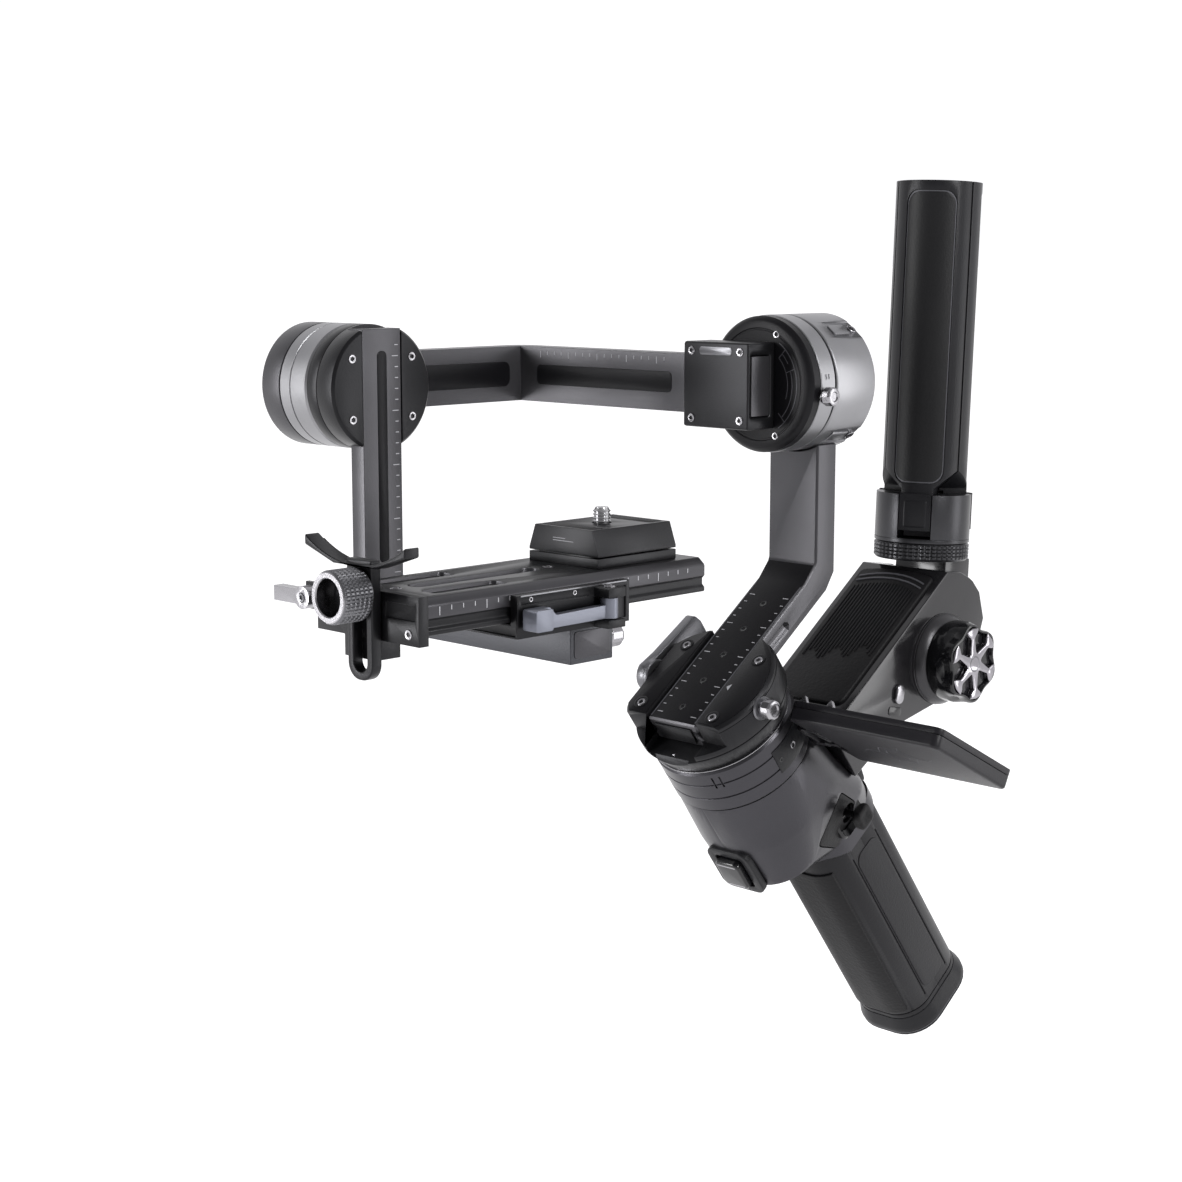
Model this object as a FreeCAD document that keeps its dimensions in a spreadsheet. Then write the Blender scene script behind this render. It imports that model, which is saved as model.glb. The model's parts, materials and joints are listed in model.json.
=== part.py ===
"""Three-axis handheld camera gimbal with a fold-out screen and a sling arm that carries a folded mini tripod.

Units are millimetres. The lens points to -Y, the operator's left is +X, +Z is up, and the origin is the seat of
the camera screw on the top face of the riser plate.
"""
import FreeCAD, Part
import math
import os
import Sketcher

Vector = FreeCAD.Vector
Rotation = FreeCAD.Rotation
Placement = FreeCAD.Placement

SIZES = {
    # axes
    "pan_tilt": 36.5, "tilt_axis_y": -29.0, "axes_height": 44.5, "pan_drop": 145.0,
    # fits
    "slide_gap": 0.3, "pin_gap": 0.1, "air_gap": 0.6,
    # motors
    "motor_wall": 2.6, "motor_floor": 3.0, "seam_half": 0.5, "shaft_radius": 5.0, "bearing_radius": 8.0,
    "magnet_thick": 2.0, "pan_motor_radius": 28.0, "pan_motor_depth": 20.5,
    "roll_motor_radius": 25.8, "roll_motor_depth": 24.5, "tilt_motor_radius": 23.0, "tilt_motor_depth": 16.5,
    # pan clamp and arm
    "clamp_radius": 30.0, "clamp_top": 9.5, "clamp_flat": 24.4, "arm_half": 12.0, "arm_top": 8.5,
    "arm_bottom": -2.5, "arm_front": -20.0, "upright_front": 104.0, "upright_rear": 115.6,
    # body and handle
    "shell_wall": 2.2, "handle_half": 17.5, "handle_front": -1.5, "handle_rear": 39.5, "handle_centre": 19.0,
    "body_end": -86.0, "cap_start": -187.0, "cap_end": -196.0, "cell_radius": 9.0, "insert_radius": 8.0,
    "thread_radius": 3.175,
    # sling arm, head and grip
    "sling_half": 21.5, "sling_top": -40.0, "pad_top": -38.0, "knob_y": 95.0, "knob_z": -66.5,
    "cheek_radius": 36.0, "boss_radius": 18.5,
    "tongue_half": 12.6, "knob_radius": 16.4, "grip_y": 186.8, "grip_lean": 2.6, "grip_radius": 17.2,
    "collar_radius": 19.3, "grip_base": -31.2, "collar_top": 27.0, "grip_top": 152.2,
    # screen
    "screen_inner": 31.8, "screen_outer": 99.0, "screen_width": 50.0, "screen_thick": 7.5, "screen_lean": -27.5,
    # camera stage
    "plate_half": 23.5, "plate_front": -101.0, "plate_rear": 28.0, "plate_top": -13.0, "plate_bottom": -25.0,
    "riser_half": 14.0, "riser_front": -19.0, "riser_rear": 20.0, "bar_bottom": -42.5, "bar_top": -30.0,
    "bar_half": 10.0, "clamp_half": 27.0, "tilt_arm_in": -84.2, "tilt_arm_out": -91.6, "lens_knob_z": -13.0,
    "lens_knob_radius": 8.7,
}


class Size:
    """A length that carries its number and the spreadsheet expression that gives it."""

    def __init__(self, value, text):
        self.value = value
        self.text = text

    def __add__(self, other):
        return Size(self.value + number(other), "(%s + %s)" % (self.text, formula(other)))

    def __radd__(self, other):
        return Size(number(other) + self.value, "(%s + %s)" % (formula(other), self.text))

    def __sub__(self, other):
        return Size(self.value - number(other), "(%s - %s)" % (self.text, formula(other)))

    def __rsub__(self, other):
        return Size(number(other) - self.value, "(%s - %s)" % (formula(other), self.text))

    def __mul__(self, factor):
        return Size(self.value * number(factor), "(%s * %s)" % (self.text, formula(factor)))

    def __neg__(self):
        return Size(-self.value, "(0 - %s)" % self.text)


def number(size):
    return size.value if isinstance(size, Size) else float(size)


def formula(size):
    return size.text if isinstance(size, Size) else "(%.4f)" % size


class Sheet:
    """The spreadsheet of driving dimensions: sheet.name gives the Size of the cell with that alias."""

    def __init__(self, document, values):
        cells = document.addObject("Spreadsheet::Sheet", "sizes")
        for row, (alias, value) in enumerate(values.items(), start=1):
            cells.set("A%d" % row, alias)
            cells.set("B%d" % row, "%g" % value)
            cells.setAlias("B%d" % row, alias)
            setattr(self, alias, Size(value, "sizes." + alias))


doc = FreeCAD.newDocument("camera_gimbal")
d = Sheet(doc, SIZES)
doc.recompute()
NODES = []


# ---------------------------------------------------------------- frames

def radians(degrees):
    return math.radians(number(degrees))


PIVOT = Vector(0, number(d.tilt_axis_y), number(d.axes_height))
PAN_AXIS = Vector(0, -math.sin(radians(d.pan_tilt)), math.cos(radians(d.pan_tilt)))
WORLD = Placement()
PAN = Placement(PIVOT - PAN_AXIS * number(d.pan_drop), Rotation(Vector(1, 0, 0), number(d.pan_tilt)))
PAN_SEAM = PAN * Placement(Vector(0, 0, -10.5), Rotation())
ROLL_SEAM = Placement(Vector(0, 97.5, number(d.axes_height)), Rotation(Vector(1, 0, 0), 90))
TILT_SEAM = Placement(Vector(-99.3, number(d.tilt_axis_y), number(d.axes_height)), Rotation(Vector(0, 1, 0), 90))
GRIP = Placement(Vector(0, number(d.grip_y), number(d.grip_base)), Rotation(Vector(1, 0, 0), -number(d.grip_lean)))
SCREEN = Placement(PAN.multVec(Vector(0, 9.8, -3.0)), Rotation(Vector(1, 0, 0), number(d.screen_lean)))


# ---------------------------------------------------------------- building blocks

def bind(item, prop, size):
    """Bind a property to the sheet, or set it when the size is a plain number."""
    if isinstance(size, Size):
        item.setExpression(prop, size.text)
    elif not prop.startswith("Placement"):
        setattr(item, prop, float(size))


def place(item, corner, rotation=Rotation()):
    item.Placement = Placement(Vector(*[number(value) for value in corner]), rotation)
    for axis, value in zip("xyz", corner):
        bind(item, "Placement.Base." + axis, value)


def box(x, y, z):
    """A block between two values along each axis."""
    block = doc.addObject("Part::Box", "block")
    place(block, (x[0], y[0], z[0]))
    for prop, (low, high) in zip(("Length", "Width", "Height"), (x, y, z)):
        bind(block, prop, high - low)
    return block


TURNS = {"x": Rotation(Vector(0, 1, 0), 90), "y": Rotation(Vector(1, 0, 0), -90), "z": Rotation()}


def rod(axis, at, radius, span):
    """A cylinder along an axis; at holds the other two coordinates in alphabetical order."""
    cylinder = doc.addObject("Part::Cylinder", "rod")
    first = {"x": (span[0], at[0], at[1]), "y": (at[0], span[0], at[1]), "z": (at[0], at[1], span[0])}[axis]
    place(cylinder, first, TURNS[axis])
    bind(cylinder, "Radius", radius)
    bind(cylinder, "Height", span[1] - span[0])
    return cylinder


def cone(axis, at, radii, span):
    taper = doc.addObject("Part::Cone", "taper")
    first = {"x": (span[0], at[0], at[1]), "y": (at[0], span[0], at[1]), "z": (at[0], at[1], span[0])}[axis]
    place(taper, first, TURNS[axis])
    bind(taper, "Radius1", radii[0])
    bind(taper, "Radius2", radii[1])
    bind(taper, "Height", span[1] - span[0])
    return taper


def fuse(*solids):
    union = doc.addObject("Part::MultiFuse", "union")
    union.Shapes = list(solids)
    union.Refine = True
    return union


def cut(base, *tools):
    result = doc.addObject("Part::Cut", "cut")
    result.Base = base
    result.Tool = tools[0] if len(tools) == 1 else fuse(*tools)
    return result


def common(first, second):
    result = doc.addObject("Part::Common", "overlap")
    result.Base = first
    result.Tool = second
    return result


def group(*solids):
    """Separate solids that share one node."""
    bundle = doc.addObject("Part::Compound", "bundle")
    bundle.Links = list(solids)
    return bundle


def soften(solid, radius, chosen):
    """Round the edges whose middle point and length satisfy chosen(point, length)."""
    doc.recompute()
    edges = []
    for index, edge in enumerate(solid.Shape.Edges, start=1):
        middle = edge.valueAt((edge.FirstParameter + edge.LastParameter) / 2)
        if chosen(middle, edge.Length):
            edges.append((index, number(radius), number(radius)))
    rounded = doc.addObject("Part::Fillet", "rounded")
    rounded.Base = solid
    rounded.Edges = edges
    return rounded


def sketch_on(body, role, offset):
    sketch = body.newObject("Sketcher::SketchObject", "outline")
    plane = [item for item in body.Origin.OriginFeatures if item.Role == role][0]
    sketch.AttachmentSupport = [(plane, "")]
    sketch.MapMode = "FlatFace"
    sketch.AttachmentOffset = Placement(Vector(0, 0, number(offset)), Rotation())
    if isinstance(offset, Size):
        sketch.setExpression("AttachmentOffset.Base.z", offset.text)
    return sketch


def pin_point(sketch, curve, end, point):
    """Hold one point of a curve at its two distances from the sketch origin."""
    for kind, value in zip(("DistanceX", "DistanceY"), point):
        index = sketch.addConstraint(Sketcher.Constraint(kind, -1, 1, curve, end, number(value)))
        if isinstance(value, Size):
            sketch.setExpression("Constraints[%d]" % index, value.text)


def polygon(body, role, points, offset=0):
    """A closed outline of straight lines through the points."""
    sketch = sketch_on(body, role, offset)
    corners = [Vector(number(u), number(v), 0) for u, v in points]
    count = len(corners)
    sketch.addGeometry([Part.LineSegment(corners[i], corners[(i + 1) % count]) for i in range(count)], False)
    for i in range(count):
        sketch.addConstraint(Sketcher.Constraint("Coincident", i, 2, (i + 1) % count, 1))
    for i in range(count):
        pin_point(sketch, i, 1, points[i])
    return sketch


def rounded_outline(body, u, v, radius, offset):
    """A rounded rectangle on the XY plane: four lines and four arcs, held by centres and radii."""
    sketch = sketch_on(body, "XY_Plane", offset)
    centres = [(u[1] - radius, v[0] + radius), (u[1] - radius, v[1] - radius),
               (u[0] + radius, v[1] - radius), (u[0] + radius, v[0] + radius)]
    reach = number(radius)
    turns = [math.radians(-90 + 90 * i) for i in range(5)]
    arcs = []
    for i, (cu, cv) in enumerate(centres):
        circle = Part.Circle(Vector(number(cu), number(cv), 0), Vector(0, 0, 1), reach)
        arcs.append(Part.ArcOfCircle(circle, turns[i], turns[i + 1]))
    lines = [Part.LineSegment(arcs[i].EndPoint, arcs[(i + 1) % 4].StartPoint) for i in range(4)]
    sketch.addGeometry(arcs + lines, False)
    for i in range(4):
        sketch.addConstraint(Sketcher.Constraint("Tangent", i, 2, 4 + i, 1))
        sketch.addConstraint(Sketcher.Constraint("Tangent", 4 + i, 2, (i + 1) % 4, 1))
    for i in range(4):
        pin_point(sketch, i, 3, centres[i])
        index = sketch.addConstraint(Sketcher.Constraint("Radius", i, reach))
        if isinstance(radius, Size):
            sketch.setExpression("Constraints[%d]" % index, radius.text)
    return sketch


def prism(role, points, span):
    """A padded outline; YZ_Plane pads along X and XY_Plane along Z."""
    body = doc.addObject("PartDesign::Body", "prism")
    sketch = polygon(body, role, points, span[0])
    pad = body.newObject("PartDesign::Pad", "pad")
    pad.Profile = sketch
    bind(pad, "Length", span[1] - span[0])
    return body


def turned(points):
    """A solid of revolution about Z; points are (radius, height)."""
    body = doc.addObject("PartDesign::Body", "turned")
    sketch = polygon(body, "XZ_Plane", points)
    revolution = body.newObject("PartDesign::Revolution", "revolution")
    revolution.Profile = sketch
    revolution.ReferenceAxis = (sketch, ["V_Axis"])
    revolution.Angle = 360
    return body


def ring(inner, outer, low, high):
    return turned([(inner, low), (outer, low), (outer, high), (inner, high)])


def lofted(sections):
    """A loft through rounded rectangles (u span, v span, corner radius, height)."""
    body = doc.addObject("PartDesign::Body", "lofted")
    sketches = [rounded_outline(body, *section) for section in sections]
    loft = body.newObject("PartDesign::AdditiveLoft", "loft")
    loft.Profile = sketches[0]
    loft.Sections = sketches[1:]
    loft.Ruled = True
    return body


def node(label, solid, frame=WORLD):
    """Name a finished sub-part and put it in its frame."""
    solid.Label = label
    solid.Placement = frame * solid.Placement
    NODES.append(solid)
    return solid


# ---------------------------------------------------------------- motors

def motor(name, frame, radius, depth):
    """The four inner pieces of a brushless motor; the seam between stator and rotor is at height zero."""
    floor = -depth + d.motor_floor
    inner = radius - d.motor_wall
    magnet_out = inner - d.air_gap
    magnet_in = magnet_out - d.magnet_thick
    coil_out = magnet_in - d.air_gap
    housing = turned([(d.shaft_radius + 1, -depth), (radius - 1, -depth), (radius, -depth + 1),
                      (radius, -d.seam_half), (inner, -d.seam_half), (inner, floor), (d.shaft_radius + 1, floor)])
    node(name + "_motor_housing", housing, frame)
    node(name + "_stator", ring(d.bearing_radius, coil_out, floor, -4), frame)
    lower = ring(d.shaft_radius, d.bearing_radius, floor, floor + 4)
    upper = ring(d.shaft_radius, d.bearing_radius, -8, -4)
    node(name + "_bearings", group(lower, upper), frame)
    spindle = d.shaft_radius - d.pin_gap
    bell = turned([(0, floor + 1), (spindle, floor + 1), (spindle, -3), (magnet_in, -3), (magnet_in, floor + 2),
                   (magnet_out, floor + 2), (magnet_out, d.seam_half), (0, d.seam_half)])
    node(name + "_rotor_bell", bell, frame)


def motors():
    motor("pan", PAN_SEAM, d.pan_motor_radius, d.pan_motor_depth)
    motor("roll", ROLL_SEAM, d.roll_motor_radius, d.roll_motor_depth)
    motor("tilt", TILT_SEAM, d.tilt_motor_radius, d.tilt_motor_depth)


# ---------------------------------------------------------------- body and handle

STICK = (16, -74)


def body_solid(inset):
    """The tapering body under the pan motor, down to the handle; inset shrinks every section."""
    under_motor = -31.0
    rows = [((-27.5, 27.5), (-27.5, 27.5), 27.0, under_motor), ((-26.5, 26.5), (-27.5, 31.0), 24.0, -54.0),
            ((-22.0, 22.0), (-26.0, 38.0), 17.0, -74.0),
            ((-d.handle_half, d.handle_half), (d.handle_front, d.handle_rear), 13.0, d.body_end)]
    sections = []
    for (left, right), (front, rear), corner, height in rows:
        sections.append(((left + inset, right - inset), (front + inset, rear - inset), corner - inset, height))
    return lofted(sections)


TRIGGER_Z = (-72.0, -58.0)


def body_shells():
    hollow = cut(body_solid(0), body_solid(d.shell_wall))
    window = box((-6.4, 6.4), (-30, -20), (TRIGGER_Z[0] - d.slide_gap, TRIGGER_Z[1] + d.slide_gap))
    stick_hole = rod("x", STICK, 4.2, (12, 30))
    holes = [rod("y", (x, -76), 3.3, (30, 45)) for x in (-7, 7)]
    shell = cut(hollow, window, stick_hole, *holes)
    node("body_left_shell", common(shell, box((0, 40), (-40, 60), (-90, -20))), PAN)
    node("body_right_shell", common(shell, box((-40, 0), (-40, 60), (-90, -20))), PAN)


def handle_solid(inset, low, high, corner=13.0):
    """A length of the handle's rounded section."""
    return lofted([((-d.handle_half + inset, d.handle_half - inset),
                    (d.handle_front + inset, d.handle_rear - inset), corner - inset, height)
                   for height in (low, high)])


def handle():
    low, high = d.cap_start, d.body_end
    tube = cut(handle_solid(0, low, high), handle_solid(d.shell_wall, low, high))
    centre = d.handle_centre
    front = box((-30, 30), (-10, centre), (low, high))
    rear = box((-30, 30), (centre, 50), (low, high))
    node("handle_front_shell", common(tube, front), PAN)
    node("handle_rear_shell", common(tube, rear), PAN)
    sleeve = cut(handle_solid(-1.0, -182, -96, 13.0), handle_solid(0, -183, -95))
    node("grip_inlay", common(sleeve, box((-13.5, 13.5), (-5, 3.5), (-183, -95))), PAN)
    cap = lofted([((-d.handle_half - grow, d.handle_half + grow), (d.handle_front - grow, d.handle_rear + grow),
                   13 + grow, height) for grow, height in ((1.2, d.cap_end), (2.0, -193.0), (0.2, d.cap_start))])
    bore = rod("z", (0, centre), d.insert_radius, (-200, -180))
    node("handle_end_cap", cut(cap, bore), PAN)
    insert = cut(rod("z", (0, centre), d.insert_radius, (d.cap_end, d.cap_start)),
                 rod("z", (0, centre), d.thread_radius, (d.cap_end - 1, d.cap_start - 1)))
    node("tripod_insert", insert, PAN)
    cells = [rod("z", (0, centre + side * 9.3), d.cell_radius, (-168, -103)) for side in (-1, 1)]
    node("battery_cells", group(*cells), PAN)


def controls():
    node("control_board", box((-12, 12), (-4, 24), (-50, -48.4)), PAN)
    pad = soften(box((-6, 6), (-31.5, -22.5), TRIGGER_Z), 2.0, lambda p, length: p.y < -31.4 or abs(p.x) > 5.9)
    node("front_trigger", pad, PAN)
    disc_and_trunnions = fuse(rod("x", STICK, 3.8, (15, 19)), rod("y", (17, -74), 1.0, (11.9, 20.1)))
    yoke = cut(disc_and_trunnions, rod("x", STICK, 2.2, (14, 20)), rod("z", (17, 16), 0.85, (-79, -69)))
    node("joystick_yoke", yoke, PAN)
    stick = fuse(rod("x", STICK, 1.3, (14, 26)), rod("z", (17, 16), 0.8, (-77.4, -70.6)),
                 cone("x", STICK, (2.6, 5.2), (26, 28.5)), rod("x", STICK, 5.2, (28.5, 31)))
    node("joystick_cap", stick, PAN)
    for name, x in (("mode_button", 7), ("power_button", -7)):
        node(name, rod("y", (x, -76), 3.0, (34, 41)), PAN)


# ---------------------------------------------------------------- screen

def screen():
    middle = d.screen_width * 0.5
    depth = -d.screen_thick
    bracket = cut(box((15, 28.4), (15, 35), (depth, 0)), box((26, 28.5), (19, 31), (depth - 1, 1)))
    pin = rod("y", (30.6, depth * 0.5), 1.4, (15, 35))
    lugs = [box((26, 33), span, (depth + 0.4, -0.4)) for span in ((15, 19), (31, 35))]
    held = fuse(bracket, pin, *lugs)
    motor_space = rod("z", (0, 0), d.pan_motor_radius, (-31, -11))
    body_space = body_solid(0)
    for space in (motor_space, body_space):
        space.Placement = SCREEN.inverse() * PAN * space.Placement
    node("screen_bracket", cut(held, motor_space, body_space), SCREEN)
    barrel = cut(fuse(rod("y", (30.6, depth * 0.5), 3.2, (19.4, 30.6)), box((30.6, 35.0), (21, 29), (-6.6, -0.9))),
                 rod("y", (30.6, depth * 0.5), 1.5, (18, 32)))
    swivel = fuse(barrel, rod("x", (middle, depth * 0.5), 2.4, (34, 48)))
    node("screen_swivel", swivel, SCREEN)
    slab = box((d.screen_inner, d.screen_outer), (0, d.screen_width), (depth, 0))
    slab = soften(slab, 3.0, lambda p, length: length < 8)
    hinge_bay = box((d.screen_inner - 1, 35.4), (middle - 11.2, middle + 11.2), (-20, 10))
    slant = box((0, 12), (-5, 55), (-20, 4))
    slant.Placement = Placement(Vector(number(d.screen_outer), 0, 0), Rotation(Vector(0, 1, 0), 32))
    slab = cut(slab, hinge_bay, slant)
    slab = soften(slab, 1.2, lambda p, length: p.z < number(depth) + 0.01)
    recess = box((40, 96), (4, 46), (-1.2, 1))
    socket = rod("x", (middle, depth * 0.5), 2.5, (30, 49))
    node("screen_shell", cut(slab, recess, socket), SCREEN)
    node("screen_glass", box((40.2, 95.8), (4.2, 45.8), (-1.2, -0.2)), SCREEN)


# ---------------------------------------------------------------- sling arm, head and grip

LEG_ANGLES = (-64, 56, 176)
LEG_HINGE = (13.5, 17.0)


def sling():
    half = d.sling_half
    outline = [(28, -66), (28, d.sling_top), (118, d.sling_top), (125, -46.5), (129, -54), (130, -62), (126, -73),
               (114, -81), (88, -82), (60, -69)]
    beam = prism("YZ_Plane", outline, (-half, half))
    boss = rod("x", (d.knob_y, d.knob_z), d.boss_radius, (-half, half))
    cheek = rod("x", (d.knob_y, d.knob_z), d.cheek_radius, (-31, 31))
    beyond = cut(box((-30, 30), (d.knob_y, 140), (-90, -30)), cheek)
    slot = box((-d.tongue_half - d.slide_gap, d.tongue_half + d.slide_gap), (74, 140), (-95, -42.5))
    hole = rod("x", (d.knob_y, d.knob_z), 4.1, (-40, 40))
    shape = cut(fuse(beam, boss), beyond, slot, hole, body_solid(0))
    node("sling_arm", shape, PAN)
    pad = box((-19.5, 19.5), (40, 113), (d.sling_top, d.pad_top))
    grooves = [box((-15.9 + 2.2 * i, -14.9 + 2.2 * i), (46, 107), (-38.7, -37)) for i in range(15)]
    node("sling_pad", cut(soften(pad, 3.0, lambda p, length: length < 2.1), *grooves), PAN)
    knob = fuse(rod("x", (d.knob_y, d.knob_z), 17.5, (half + 0.4, 26)),
                rod("x", (d.knob_y, d.knob_z), d.knob_radius, (26, 38)),
                rod("x", (d.knob_y, d.knob_z), 4.0, (-24, half + 0.4)),
                rod("x", (d.knob_y, d.knob_z), 8.0, (-27, -half - 0.4)))
    lobes = []
    for i in range(6):
        angle = math.radians(30 + 60 * i)
        reach = number(d.knob_radius) + 2.5
        spot = (d.knob_y + reach * math.cos(angle), d.knob_z + reach * math.sin(angle))
        lobes.append(rod("x", spot, 4.6, (28, 39)))
    node("sling_knob", cut(knob, *lobes), PAN)


def grip():
    """The pivoting head, the tripod hub and its three folded legs, along the grip axis."""
    knob_world = PAN.multVec(Vector(0, number(d.knob_y), number(d.knob_z)))
    knob_local = GRIP.inverse().multVec(knob_world)
    at = (knob_local.y, knob_local.z)
    y, z = at
    neck = [(y + 5.5, z + 15.5), (y + 11.5, z + 34.5), (y + 11.5, 0), (17, 0), (17, -12), (y + 17, z + 3)]
    neck = prism("YZ_Plane", neck, (-d.tongue_half, d.tongue_half))
    tongue = fuse(rod("x", at, d.boss_radius - 1, (-d.tongue_half, d.tongue_half)), neck)
    node("sling_head", cut(tongue, rod("x", at, 4.3, (-30, 30))), GRIP)
    base, top = d.collar_top - 20, d.collar_top
    collar = ring(0, d.collar_radius, 0, top)
    hub_cuts = []
    pins = []
    for angle in LEG_ANGLES:
        turn = Placement(Vector(), Rotation(Vector(0, 0, 1), angle))
        pocket = box((4, 30), (-6.8, 6.8), (base + 2, top + 1))
        pocket.Placement = turn * pocket.Placement
        hub_cuts.append(pocket)
        axle = rod("y", (LEG_HINGE[0], LEG_HINGE[1]), 1.8, (-9, 9))
        axle.Placement = turn * axle.Placement
        pins.append(axle)
    node("grip_hub", fuse(cut(collar, *hub_cuts), *pins), GRIP)
    for index, angle in enumerate(LEG_ANGLES, start=1):
        node("tripod_leg_%d" % index, tripod_leg(), GRIP * Placement(Vector(), Rotation(Vector(0, 0, 1), angle)))


def tripod_leg():
    """A third of the bundle, drawn along +X: a 120 degree wedge with a narrow foot hinged in the hub."""
    start = d.collar_top + 1.2
    bundle = rod("z", (0, 0), d.grip_radius, (start, d.grip_top))
    reach = 40.0
    wedge = prism("XY_Plane", [(0.5, 0), (reach * 0.5 + 0.5, -reach * 0.866), (reach, -reach * 0.866),
                               (reach, reach * 0.866), (reach * 0.5 + 0.5, reach * 0.866)], (0, 200))
    shank = common(bundle, wedge)
    foot = box((6.0, 18.6), (-6.4, 6.4), (12.5, start + 8))
    eye = rod("y", LEG_HINGE, 2.0, (-10, 10))
    shoulders = []
    for side in (-1, 1):
        profile = [(side * 6.4, start - 1), (side * 6.4, start + 1), (side * 15, start + 9),
                   (side * 30, start + 9), (side * 30, start - 1)]
        shoulders.append(prism("YZ_Plane", profile, (0, 30)))
    return cut(fuse(shank, foot), eye, *shoulders)


# ---------------------------------------------------------------- pan clamp and arm

PAN_KNOB = (-2.5, 4.5)
LEVER_PIN = (2, 6)


def pan_clamp():
    gap = d.slide_gap
    cup = turned([(0, -10), (27, -10), (d.clamp_radius, -3), (d.clamp_radius, d.clamp_top - 1),
                  (d.clamp_radius - 1, d.clamp_top), (0, d.clamp_top)])
    slot = box((-d.arm_half - gap, d.arm_half + gap), (-40, 40), (d.arm_bottom - gap, 20))
    flat = box((-40, -d.clamp_flat), (-40, 40), (-7, 20))
    front_step = box((-40, 40), (-40, -19.5), (0, 20))
    knob_hole = rod("x", PAN_KNOB, 2.3, (20, 40))
    pin_hole = rod("x", LEVER_PIN, 2.6, (-30, -14))
    node("pan_clamp", cut(cup, slot, flat, front_step, knob_hole, pin_hole), PAN)
    node("pan_lock_knob", fuse(rod("x", PAN_KNOB, 2.0, (22, 30.6)), rod("x", PAN_KNOB, 3.8, (30.6, 36))), PAN)
    paddle = prism("YZ_Plane", [(2, -0.4), (9, -2.0), (31, -2.4), (34, 0), (34, 6), (31, 9.5), (9, 11), (2, 12.4)],
                   (-30.2, -26.2))
    blade = fuse(paddle, rod("x", LEVER_PIN, 6.5, (-30.2, -24.8)), rod("x", LEVER_PIN, 2.5, (-24.8, -16)))
    node("pan_clamp_lever", cut(blade, rod("x", LEVER_PIN, 2.6, (-31, -27))), PAN)


def pan_arm():
    tilt = radians(d.pan_tilt)

    def on_line(height, y):
        """The point of a line parallel to the lower bar, at a world y."""
        base = PAN.multVec(Vector(0, 0, number(height)))
        return (y, base.z + (y - base.y) * math.tan(tilt))

    front_top = PAN.multVec(Vector(0, number(d.arm_front), number(d.arm_top)))
    front_bottom = PAN.multVec(Vector(0, number(d.arm_front), number(d.arm_bottom)))
    inner = on_line(d.arm_top, 98.0)
    outer = on_line(d.arm_bottom, 111.0)
    points = [(front_bottom.y, front_bottom.z), outer, (d.upright_rear, outer[1] + 7), (d.upright_rear, 27),
              (d.upright_front, 27), (d.upright_front, inner[1] + 7), inner, (front_top.y, front_top.z)]
    bar = prism("YZ_Plane", points, (-d.arm_half, d.arm_half))
    drum = rod("y", (0, d.axes_height), d.roll_motor_radius + 0.02, (90, 130))
    bar = cut(bar, drum)
    grooves = []
    for side in (-1, 1):
        channel = box((side * 12 - 1.5, side * 12 + 1.5), (-60, 40), (1.5, 4.5))
        channel.Placement = PAN * channel.Placement
        grooves.append(channel)
    node("pan_arm", cut(bar, *grooves))


def roll_stage():
    rim = turned([(0, 0.5), (d.roll_motor_radius, 0.5), (d.roll_motor_radius, 12.5),
                  (d.roll_motor_radius - 1.5, 14.5), (0, 14.5)])
    knob_hole = rod("x", (-3.5, 7.5), 2.3, (18, 40))
    node("roll_rotor_cap", cut(rim, knob_hole), ROLL_SEAM)
    node("roll_lock_knob", fuse(rod("x", (-3.5, 7.5), 2.0, (20, 26.2)), rod("x", (-3.5, 7.5), 3.6, (26.2, 31))),
         ROLL_SEAM)
    gap = d.slide_gap
    block = box((-24, 8), (68, 83), (28.5, 60.5))
    channel = box((-40, 40), (70 - gap, 80 + gap), (d.axes_height - 11 - gap, d.axes_height + 11 + gap))
    node("roll_clamp", cut(block, channel))
    cross = box((-126, 8), (70, 80), (d.axes_height - 11, d.axes_height + 11))
    side = box((-126, -116), (-29, 80), (d.axes_height - 11, d.axes_height + 11))
    disc = rod("x", (d.tilt_axis_y, d.axes_height), d.tilt_motor_radius, (-126, -115.8))
    arm = fuse(cross, side, disc)
    arm = soften(arm, 8.0, lambda p, length: p.x < -125.9 and p.y > 79.9)
    node("roll_arm", arm)


def tilt_stage():
    gap = d.slide_gap
    cup = turned([(0, 0.5), (d.tilt_motor_radius, 0.5), (d.tilt_motor_radius, 14.3),
                  (d.tilt_motor_radius - 1, 15.3), (0, 15.3)])
    slot = box((-40, 40), (-9 - gap, 9 + gap), (7.4, 20))
    knob_hole = rod("y", (0, 4), 2.3, (10, 40))
    node("tilt_rotor_cap", cut(cup, slot, knob_hole), TILT_SEAM)
    node("tilt_lock_knob", fuse(rod("y", (0, 4), 2.0, (16, 23.4)), rod("y", (0, 4), 3.3, (23.4, 28))), TILT_SEAM)
    upright = box((d.tilt_arm_out, d.tilt_arm_in), (d.tilt_axis_y - 9, d.tilt_axis_y + 9), (d.bar_bottom, 66))
    beam = box((d.tilt_arm_out, 24), (d.tilt_axis_y - d.bar_half, d.tilt_axis_y + d.bar_half),
               (d.bar_bottom, d.bar_top))
    bend = soften(fuse(upright, beam), 6.0, lambda p, length: p.x < -91.5 and p.z < -42.4)
    node("tilt_arm", cut(bend, rod("y", (18, -36), 2.3, (-30, -18))))
    node("safety_knob", fuse(rod("y", (18, -36), 2.0, (-27, -18)), rod("y", (18, -36), 4.4, (-18, -11))))


# ---------------------------------------------------------------- camera stage

LEVER_PIVOT = (30.2, -27.0)


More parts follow.
